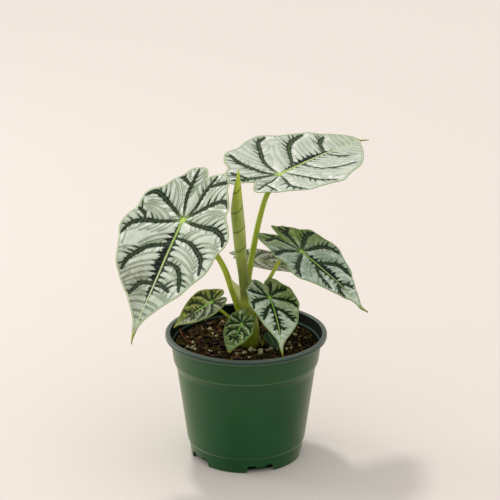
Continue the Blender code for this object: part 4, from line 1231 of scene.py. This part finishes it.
def build_new_leaf(material):
    """A blade still rolled round itself, with its free edge running up the roll."""
    x, y, _ = NEW_LEAF_ROUTE[0]
    foot = (x + 0.6, y + 0.9, CROWN_TOP - 12)
    route = even_points(smooth_curve([foot] + NEW_LEAF_ROUTE), 0.9)
    table = smooth_curve([(p[2], r) for p, r in zip(NEW_LEAF_ROUTE, NEW_LEAF_RADII)])
    radii = np.maximum(np.interp(route[:, 2], table[:, 0], table[:, 1]), 0.25)
    rings = len(route)
    seams = np.linspace(*NEW_LEAF_SEAM, rings)

    def shape(angles, i):
        behind = np.mod(angles - seams[i], math.tau) / math.tau
        return 1 + NEW_LEAF_LAP * np.clip(1.6 * (0.5 - behind), -0.5, 0.5)

    points, faces = tube(route, radii, NEW_LEAF_SIDES, shape=shape)
    roll = mesh_object("leaf_rolled_new" + FINE, points, faces, material)
    angles = np.tile(math.tau * np.arange(NEW_LEAF_SIDES) / NEW_LEAF_SIDES, rings)
    turns = np.mod(angles - np.repeat(seams, NEW_LEAF_SIDES), math.tau) / math.tau
    write_vectors(roll.data, "roll", np.column_stack([points[:, 2], np.cos(angles), turns]))
    tube_map(roll.data, rings, NEW_LEAF_SIDES, 86.0, math.tau * 4)
    settle(roll, "stem_green", "leaf_rolled_new")


def build_sprout(material):
    curve = smooth_curve(SPROUT_ROUTE, 10)
    radii = smooth_curve([(r, 0) for r in SPROUT_RADII], 10)[:, 0]
    sprout = mesh_object("sprout" + FINE, *tube(curve, radii, 16), material)
    settle(sprout, "stem_green", "sprout")


def sprout_material():
    """A pale straw-green shoot, lighter at its tip."""
    g = Nodes("sprout_flesh", 0.5, 0.35)
    place, _, _, z = g.place()
    grain = g.noise(place, 2, 3)
    g.base(z.step(77, 83), "9e9858", "bcb878")
    g.coat(grain.step(0.5, 0.7, 0, 0.5), "787038")
    g.bump(grain, 0.2, 0.6)
    return g.finish()


# Pot

def rounded(profile, radii, steps=5):
    """A profile with its inner corners rounded off."""
    points = [profile[0]]
    for before, corner, after, radius in zip(profile, profile[1:], profile[2:], radii):
        corner = np.array(corner, float)
        ends = []
        for other in (before, after):
            span = np.array(other) - corner
            length = np.linalg.norm(span)
            ends.append((span, length))
        cut = min([radius] + [0.45 * length for _, length in ends])
        start, end = (corner + span / length * cut for span, length in ends)
        for t in np.linspace(0, 1, steps + 1):
            points.append((1 - t) ** 2 * start + 2 * t * (1 - t) * corner + t * t * end)
    points.append(profile[-1])
    return np.array([tuple(p) for p in points])


def pot_profile():
    """The pot's section from the middle of its base, up its outside and down its inside."""
    top = POT_HEIGHT
    corners = [
        ((0, 0), 0), ((FOOT_RADIUS, 0), 0.7), ((FOOT_TOP_RADIUS, FOOT_TOP_Z), 0.25),
        ((WALL_FOOT_RADIUS - 0.5, FOOT_TOP_Z + 0.9), 0.25), ((WALL_FOOT_RADIUS, WALL_FOOT_Z), 0.3),
        ((SHOULDER_RADIUS, SHOULDER_Z), 1.2), ((COLLAR_RADIUS - 0.35, COLLAR_Z - 0.9), 0.5),
        ((COLLAR_RADIUS, COLLAR_Z), 0.3),
        ((COLLAR_TOP_RADIUS, top - RIM_DROP), 0.3), ((RIM_RADIUS, top - RIM_DROP), 0.7),
        ((RIM_RADIUS, top), 1.3), ((RIM_INNER, top), 1.2), ((RIM_INNER, top - 1.8), 0.5),
        ((COLLAR_TOP_RADIUS - POT_WALL, INNER_LEDGE_Z), 0.3),
        ((COLLAR_TOP_RADIUS - POT_WALL - INNER_LEDGE, INNER_LEDGE_Z - INNER_LEDGE), 0.2),
        ((COLLAR_RADIUS - POT_WALL, COLLAR_Z), 0.5), ((SHOULDER_RADIUS - POT_WALL, SHOULDER_Z), 1.0),
        ((WALL_FOOT_RADIUS - POT_WALL, WALL_FOOT_Z), 0.3),
        ((FOOT_TOP_RADIUS - POT_WALL, FOOT_TOP_Z), 0.3), ((FOOT_RADIUS - POT_WALL, POT_FLOOR), 0.8),
        ((0, POT_FLOOR), 0),
    ]
    return rounded([c for c, _ in corners], [r for _, r in corners[1:-1]])


def turned_mesh(profile, sides):
    """A closed solid turned round the Z axis. The profile's ends lie on the axis."""
    angles = math.tau * np.arange(sides) / sides
    inner = profile[1:-1]
    rings = [np.column_stack([r * np.cos(angles), r * np.sin(angles), np.full(sides, z)])
             for r, z in inner]
    points = np.vstack([[(0, 0, profile[0][1])]] + rings + [[(0, 0, profile[-1][1])]])
    last = len(points) - 1
    top = 1 + (len(inner) - 1) * sides
    faces = []
    for s in range(sides):
        following = (s + 1) % sides
        faces.append((0, 1 + following, 1 + s))
        faces.append((last, top + s, top + following))
        for ring in range(len(inner) - 1):
            low = 1 + ring * sides
            faces.append((low + s, low + following, low + sides + following, low + sides + s))
    return points, faces


def notch_cutter(angle, material):
    """A slot with sloping ends and a shallow tooth at the top, cut through the foot."""
    half, tooth = NOTCH_WIDTH / 2, TOOTH_WIDTH / 2
    right = [(half + NOTCH_SLOPE, -1), (half, NOTCH_HEIGHT), (tooth + TOOTH_SLOPE, NOTCH_HEIGHT),
             (tooth, NOTCH_HEIGHT - TOOTH_DROP)]
    shape = right + [(-x, z) for x, z in reversed(right)]
    outward = np.array([math.cos(angle), math.sin(angle), 0])
    sideways = np.array([-math.sin(angle), math.cos(angle), 0])
    points = [outward * radius + sideways * x + (0, 0, z)
              for radius in (FOOT_RADIUS - NOTCH_DEPTH, FOOT_RADIUS + NOTCH_DEPTH)
              for x, z in shape]
    count = len(shape)
    faces = [tuple(reversed(range(count))), tuple(range(count, 2 * count))]
    faces += [(i, (i + 1) % count, (i + 1) % count + count, i + count) for i in range(count)]
    return mesh_object("notch", points, faces, material)


def cut_out(obj, cutters):
    """Cut the cutters out of the object and remove them."""
    group = bpy.data.collections.new("cutters")
    bpy.context.scene.collection.children.link(group)
    for cutter in cutters:
        group.objects.link(cutter)
        bpy.context.collection.objects.unlink(cutter)
    boolean = obj.modifiers.new("cut", "BOOLEAN")
    boolean.operand_type = "COLLECTION"
    boolean.collection = group
    boolean.solver = "EXACT"
    apply_modifiers(obj)
    for cutter in cutters:
        bpy.data.objects.remove(cutter, do_unlink=True)
    bpy.data.collections.remove(group)


def build_pot(material, inside):
    pot = mesh_object("pot" + FINE, *turned_mesh(pot_profile(), POT_SIDES), material, inside)
    cut_out(pot, [notch_cutter(math.radians(NOTCH_FIRST + i * 360 / NOTCH_COUNT), material)
                  for i in range(NOTCH_COUNT)])
    pot.data.shade_smooth()
    pot.data.set_sharp_from_angle(angle=math.radians(SHARP_ANGLE))
    # the inside faces take the nearly black inside material, which is painted shade
    for face in pot.data.polygons:
        faces_in = face.normal.x * face.center.x + face.normal.y * face.center.y < 1e-6
        within = math.hypot(face.center.x, face.center.y) < RIM_INNER * MM
        if faces_in and POT_FLOOR - 0.1 < face.center.z / MM < POT_HEIGHT - 1:
            face.material_index = int(within)
    settle(pot, "pot_green", "pot")


def shaded_inside_material():
    """The pot's dark inside: its green plastic painted nearly black as painted shade, with a little dust
    and a paler ledge that is a painted highlight.
    """
    g = Nodes("pot_inside", 0.7, 0.06)
    place, _, _, z = g.place()
    grain = g.noise(place, 0.9, 4, 0.7)
    g.base(grain.step(0.4, 0.7), "080e08", "121a0e")
    # painted highlight: the ledge's top is lighter where light catches it
    ledge = (z - INNER_LEDGE_Z).band(-1.1, -0.6, 0.1, 0.6)
    g.coat(ledge * 0.8, "465a54")
    g.bump(grain + g.noise((0, 0, z * 1.6), 1, 3) * 0.3, 0.12, 0.6)
    return g.finish()


def pot_material():
    """Moulded green plastic: fine grain and faint scuffs, a cooler rim that is painted reflection,
    painted highlights on the rim's edges and the collar's edge, and painted shade under the rim and on
    the step under the collar.
    """
    g = Nodes("pot_plastic", 0.4, 0.24, Sheen_Weight=0.44, Sheen_Tint=(1.0, 0.97, 0.68, 1.0),
              Sheen_Roughness=0.35)
    place, _, _, z = g.place()
    grain = g.noise(place, 1.1, 4, 0.7)
    scuff = g.noise(place, 0.9, 2, 0.9)
    g.base(g.noise(place, 0.035, 3).step(0.3, 0.7), "09431c", "0e4a22")
    g.coat(z.step(30, 75, 0, 0.6), "224927")
    g.coat(scuff.step(0.62, 0.78, 0, 0.3), "3a6034")
    # painted shade on the step under the collar
    under_collar_shade = z.band(SHOULDER_Z - 1, SHOULDER_Z + 0.5, COLLAR_Z - 0.5, COLLAR_Z - 0.2)
    g.coat(under_collar_shade * 0.14, "042810")
    # a thin light line on the collar's lower edge: painted highlight, and in part edge wear
    g.coat((z - COLLAR_Z).band(-0.45, -0.1, 0.1, 0.35) * 0.45, "688a5c")
    above = z - (POT_HEIGHT - RIM_DROP)
    # painted shadow: a dark band on the collar just under the rim's lower edge
    g.coat(above.band(-1.4, -0.6, -0.1, 0.1) * 0.5, "082210")
    # painted reflection: the rim's band is the same plastic, a cooler slate where it reflects the light
    # from above
    rim = above.step(-0.2, 0.2)
    g.coat(rim, "253b2e")
    # painted highlights: light lines along the rim's lower edge and along its top edge
    g.coat(above.band(-0.1, 0.2, 0.5, 0.9) * 0.36, "708668")
    g.coat((z - POT_HEIGHT).band(-0.9, -0.5, -0.15, 0) * 0.26, "88a09a")
    g.coat(z.step(8, 0) * grain.step(0.5, 0.8) * 0.35, "787c60")
    g.bump(grain + g.noise((0, 0, z * 1.6), 1, 3) * 0.25, 0.09, 0.55)
    return g.finish(grain * 0.2 - rim * 0.05 + 0.33)


# Soil

def soil_height(x, y):
    bumps = noise.noise(Vector((x, y, 0)) * 0.11) + 0.6 * noise.noise(Vector((x, y, 9)) * 0.26)
    return SOIL_TOP + SOIL_TILT * y + SOIL_RELIEF * bumps


def soil_clods(x, y):
    """The fine lumps on the soil's even form."""
    lump, crumb, grain = (noise.noise(Vector((x, y, depth)) * scale)
                          for depth, scale in ((3, 0.42), (5, 0.95), (7, 2.1)))
    return 1.7 * abs(lump) + 0.55 * crumb + 0.3 * grain - 0.55


def inner_radius(height):
    """Radius of the pot's inside, from the floor to the ledge."""
    heights = [POT_FLOOR, FOOT_TOP_Z, WALL_FOOT_Z, SHOULDER_Z, COLLAR_Z, INNER_LEDGE_Z - INNER_LEDGE]
    radii = [FOOT_RADIUS, FOOT_TOP_RADIUS, WALL_FOOT_RADIUS, SHOULDER_RADIUS, COLLAR_RADIUS,
             COLLAR_TOP_RADIUS - INNER_LEDGE]
    return np.interp(height, heights, radii) - POT_WALL


def build_soil(material):
    """A closed body that fills the pot, with a lumpy top."""
    angles = math.tau * np.arange(SOIL_SIDES) / SOIL_SIDES
    wall = inner_radius(SOIL_TOP) - SOIL_WALL_GAP
    outline = np.column_stack([wall * np.cos(angles), wall * np.sin(angles)])
    flat, faces = filled_outline(outline, [], SOIL_STEP)
    rim_share = share_of((wall - np.hypot(flat[:, 0], flat[:, 1])) / 2)
    heights = [soil_height(x, y) + soil_clods(x, y) * share
               for (x, y), share in zip(flat, rim_share)]
    points = [np.column_stack([flat, heights])]
    order = dict(rim_edges(faces))
    ring = [min(order)]
    while order[ring[-1]] != ring[0]:
        ring.append(order[ring[-1]])
    solid = faces.tolist()
    upper, count = ring, len(flat)
    for height in (COLLAR_Z, SHOULDER_Z, WALL_FOOT_Z, FOOT_TOP_Z, POT_FLOOR + GAP):
        radius = inner_radius(height) - SOIL_WALL_GAP
        lower = list(range(count, count + len(ring)))
        spots = flat[ring] / np.linalg.norm(flat[ring], axis=1)[:, None] * radius
        points.append(np.column_stack([spots, np.full(len(ring), height)]))
        solid += list(zip(upper[1:] + upper[:1], upper, lower, lower[1:] + lower[:1]))
        upper, count = lower, count + len(ring)
    solid.append(tuple(reversed(upper)))
    soil = mesh_object("soil" + FINE, np.vstack(points), solid, material)
    settle(soil, "soil_brown", "soil")


def soil_material():
    """Dark moist mix with red-brown bark dust, black pores of painted shade and a little moss."""
    g = Nodes("potting_mix", 0.9, 0.05)
    place, x, _, z = g.place()
    coarse = g.noise(place, 0.35, 4, 0.65)
    fine = g.noise(place, 1.6, 5, 0.75)
    cell = g.cells(place, 1.1)
    g.base(coarse.step(0.44, 0.6), "060402", "20190a")
    g.coat(cell.step(0.74, 0.9, 0, 0.85), "604d23")
    # painted shade: black pores where hollows between the crumbs would lie in shade
    g.coat(cell.step(0.3, 0.12, 0, 0.95), "050403")
    moss = g.noise(place, 0.09).step(0.5, 0.6) * fine.step(0.42, 0.6)
    g.coat(moss * 0.6, "585c28")
    g.coat(x.step(5, -25) * fine.step(0.48, 0.66) * 0.6, "684a2a")
    g.coat(fine.step(0.64, 0.74, 0, 0.8), "928442")
    g.coat(z.step(9, 7), "070906")
    g.bump(fine + coarse * 0.7, 0.9, 0.9)
    return g.finish()


def lump_shape(draw, size, squash, roughness, subdivisions):
    """An uneven rounded lump round the origin, as points and faces."""
    mesh = bmesh.new()
    bmesh.ops.create_icosphere(mesh, subdivisions=subdivisions, radius=size / 2)
    mesh.verts.index_update()
    seed = Vector([draw.uniform(0, 90) for _ in range(3)])
    spin, lean = draw.uniform(0, math.tau), draw.uniform(-0.5, 0.5)
    turn = Matrix.Rotation(spin, 3, "Z") @ Matrix.Rotation(-lean, 3, "Y")
    points = []
    for vertex in mesh.verts:
        p = vertex.co * (1 + roughness * noise.noise(vertex.co * (2.2 / size) + seed))
        points.append(tuple(turn @ (p * Vector(squash))))
    faces = [tuple(v.index for v in f.verts) for f in mesh.faces]
    mesh.free()
    return np.array(points), faces


def gathered(name, shapes, *materials):
    """One piece of many small shapes."""
    points, faces, start = [], [], 0
    for more_points, more_faces in shapes:
        points.append(more_points)
        faces += [tuple(n + start for n in face) for face in more_faces]
        start += len(more_points)
    return mesh_object(name, np.vstack(points), faces, *materials)


def soil_spot(draw, reach=SOIL_REACH):
    """A place on the soil, clear of the crown."""
    while True:
        x, y = draw.uniform(-reach, reach), draw.uniform(-reach, reach)
        if math.hypot(x, y) < reach and math.hypot(x - 2.6, y) > CROWN_CLEARING:
            return x, y


def on_soil(x, y, lift):
    return np.array([x, y, soil_height(x, y) + soil_clods(x, y) + lift])


# Larger perlite grains: place on the soil and size
PERLITE = [((-16, 36), 3.4), ((-25, 26), 3.8), ((-39, -6), 2.4), ((-36, -5.5), 2.8), ((-34, -7), 2.2),
           ((-24, -12), 2.6), ((-1, -15), 3.0), ((3, -9), 3.2), ((5, -8), 2.4), ((10, -12), 3.6),
           ((9, -15), 2.6), ((16, -7), 3.0), ((14, -8.5), 2.2), ((27, -7.5), 2.8), ((30, -7), 2.4),
           ((40, 11), 2.2), ((36, -2), 1.8), ((29, 3), 1.8), ((33, 15), 2.2), ((-20, 14), 2.4),
           ((-27, 12), 2.6), ((-23, 18), 2.2), ((-6, -19), 2.2), ((-9, -22), 2.0), ((2, -20), 2.0)]


def perlite_shapes():
    draw = random.Random(11)
    shapes = []
    for (x, y), size in PERLITE:
        points, faces = lump_shape(draw, size, (1, draw.uniform(0.55, 0.95), 0.75), 0.9, 3)
        shapes.append((points + on_soil(x, y, 0.28 * size), faces))
    for _ in range(GRAIN_COUNT):
        x, y = soil_spot(draw)
        size = draw.uniform(0.5, 1.4)
        points, faces = lump_shape(draw, size, (1, 0.8, 0.7), 0.8, 2)
        shapes.append((points + on_soil(x, y, 0.2 * size), faces))
    return shapes


def bark_shapes():
    draw = random.Random(5)
    shapes = []
    for _ in range(BARK_COUNT):
        x, y = soil_spot(draw)
        size = draw.uniform(1.2, 5.0) * (1.15 if x < 0 else 0.85)
        if math.hypot(x, y) + 0.7 * size > BARK_REACH:
            continue
        squash = (1.25, draw.uniform(0.35, 0.8), draw.uniform(0.25, 0.5))
        points, faces = lump_shape(draw, size, squash, 0.55, 2)
        shapes.append((points + on_soil(x, y, 0.12 * size), faces))
    return shapes


def fibre_shapes():
    draw = random.Random(3)
    shapes = []
    for _ in range(FIBRE_COUNT):
        x, y = soil_spot(draw, 44.0)
        heading, length = draw.uniform(0, math.tau), draw.uniform(3, 11)
        curl = draw.uniform(-0.16, 0.16)
        controls = []
        for _ in range(7):
            controls.append(on_soil(x, y, draw.uniform(0.1, 0.7)))
            x += math.cos(heading) * length / 6
            y += math.sin(heading) * length / 6
            heading += curl * length / 6
        if math.hypot(x, y) > SOIL_REACH:
            continue
        route = smooth_curve(controls, 3)
        width = draw.uniform(0.08, 0.2)
        shapes.append(tube(route, np.full(len(route), width), 5))
    return shapes


def chip_material(name, light, dark, speckle):
    """Chips that are lighter and darker one by one, with fine speckles."""
    g = Nodes(name, 0.85, 0.12)
    place = g.place()[0]
    grain = g.noise(place, 2.4, 4, 0.7)
    g.base(g.cells(place, 0.33).step(0.3, 0.95), dark, light)
    g.coat(grain.step(0.5, 0.72, 0, 0.7), speckle)
    g.bump(grain, 0.4, 0.9)
    return g.finish()


# The twig: places on the soil and how high over it
TWIG = [(-44.6, 13.0, 4.8), (-43.6, 10, 3.8), (-42.3, 7, 2.8), (-40, 4.8, 1.9), (-37.8, 3, 1.4),
        (-35.9, 1.5, 1.3)]


def build_twig(bark, bead):
    """A reddish twig that lies on the soil, with a pale bead at its end."""
    controls = [np.array([x, y, soil_height(x, y) + lift]) for x, y, lift in TWIG]
    route = smooth_curve(controls, 5)
    radii = np.interp(np.linspace(0, 1, len(route)), [0, 0.15, 0.6, 1], [0.75, 0.5, 0.38, 0.3])

    def shape(angles, i):
        return 1 + 0.12 * np.cos(3 * angles + i)

    twig = mesh_object("soil_twig", *tube(route, radii, 10, shape=shape), bark)
    settle(twig, "soil_brown")
    points, faces = lump_shape(random.Random(2), 1.9, (1, 1, 0.9), 0.3, 3)
    end = mesh_object("soil_twig_bead", points + controls[-1] + (0.2, -0.3, 0.2), faces, bead)
    settle(end, "soil_brown")


# Stage

def floor_material():
    g = Nodes("pale_floor", 0.9, 0.2)
    grain = g.noise(g.place()[0], 0.9, 3, 0.6)
    g.base(grain.step(0.3, 0.7), "dfd7d0", "e4dcd5")
    return g.finish()


def add_light(kind, direction, place=(0, 0, 0), **settings):
    """A light that shines along a direction, with its place in millimetres."""
    light = bpy.data.lights.new(kind.lower(), kind)
    for key, value in settings.items():
        setattr(light, key, value)
    obj = bpy.data.objects.new(light.name, light)
    obj.location = Vector(place) * MM
    obj.rotation_euler = direction.to_track_quat("-Z", "Y").to_euler()
    bpy.context.collection.objects.link(obj)


def build_stage():
    half = FLOOR_SIZE / 2
    corners = [(-half, -half, 0), (half, -half, 0), (half, half, 0), (-half, half, 0)]
    floor = mesh_object("floor", corners, [(0, 1, 2, 3)], floor_material())

    world = bpy.data.worlds.new("room")
    world.use_nodes = True
    room = world.node_tree.nodes["Background"].inputs
    room["Color"].default_value = (*ROOM_COLOUR, 1.0)
    room["Strength"].default_value = ROOM_STRENGTH
    bpy.context.scene.world = world
    add_light("SUN", Vector(SUN_TOWARDS), energy=SUN_STRENGTH, color=SUN_COLOUR,
              angle=math.radians(SUN_SOFTNESS))
    add_light("AREA", Vector(CAMERA_AIM) - Vector(FILL_PLACE), FILL_PLACE, energy=FILL_POWER,
              size=FILL_SIZE * MM)


def build_camera():
    pitch = math.radians(CAMERA_PITCH)
    data = bpy.data.cameras.new("camera")
    data.sensor_width = CAMERA_SENSOR
    data.lens = CAMERA_LENS
    camera = bpy.data.objects.new("camera", data)
    back = Vector((0, -math.cos(pitch), math.sin(pitch))) * CAMERA_RANGE
    camera.location = (Vector(CAMERA_AIM) + back) * MM
    camera.rotation_euler = (math.pi / 2 - pitch, 0, 0)
    bpy.context.collection.objects.link(camera)
    bpy.context.scene.camera = camera
    bpy.context.scene.view_settings.view_transform = "Standard"


def main():
    build_camera()
    build_stage()
    for leaf in LEAVES:
        name = leaf.name + "_skin"
        build_blade(leaf, blade_material(name + "_upper", leaf.look, leaf.tip[1]),
                    underside_material(name + "_lower", leaf.look))
    stem = stem_material()
    for leaf in LEAVES:
        build_stem(leaf, stem)
    build_crown(crown_material(), membrane_material())
    build_new_leaf(new_leaf_material())
    build_sprout(sprout_material())

    build_pot(pot_material(), shaded_inside_material())
    build_soil(soil_material())
    bark = chip_material("bark", "70542e", "060503", "161209")
    perlite = chip_material("perlite", "e2d8ba", "b2b084", "867c54")
    fibre = chip_material("fibre", "745434", "302012", "503820")
    twig = chip_material("twig", "9c5c3e", "703e2c", "b07a58")
    for name, shapes, material in (("soil_bark", bark_shapes(), bark),
                                   ("soil_perlite", perlite_shapes(), perlite),
                                   ("soil_fibres", fibre_shapes(), fibre)):
        settle(gathered(name, shapes, material), "soil_brown")
    build_twig(twig, perlite)


main()
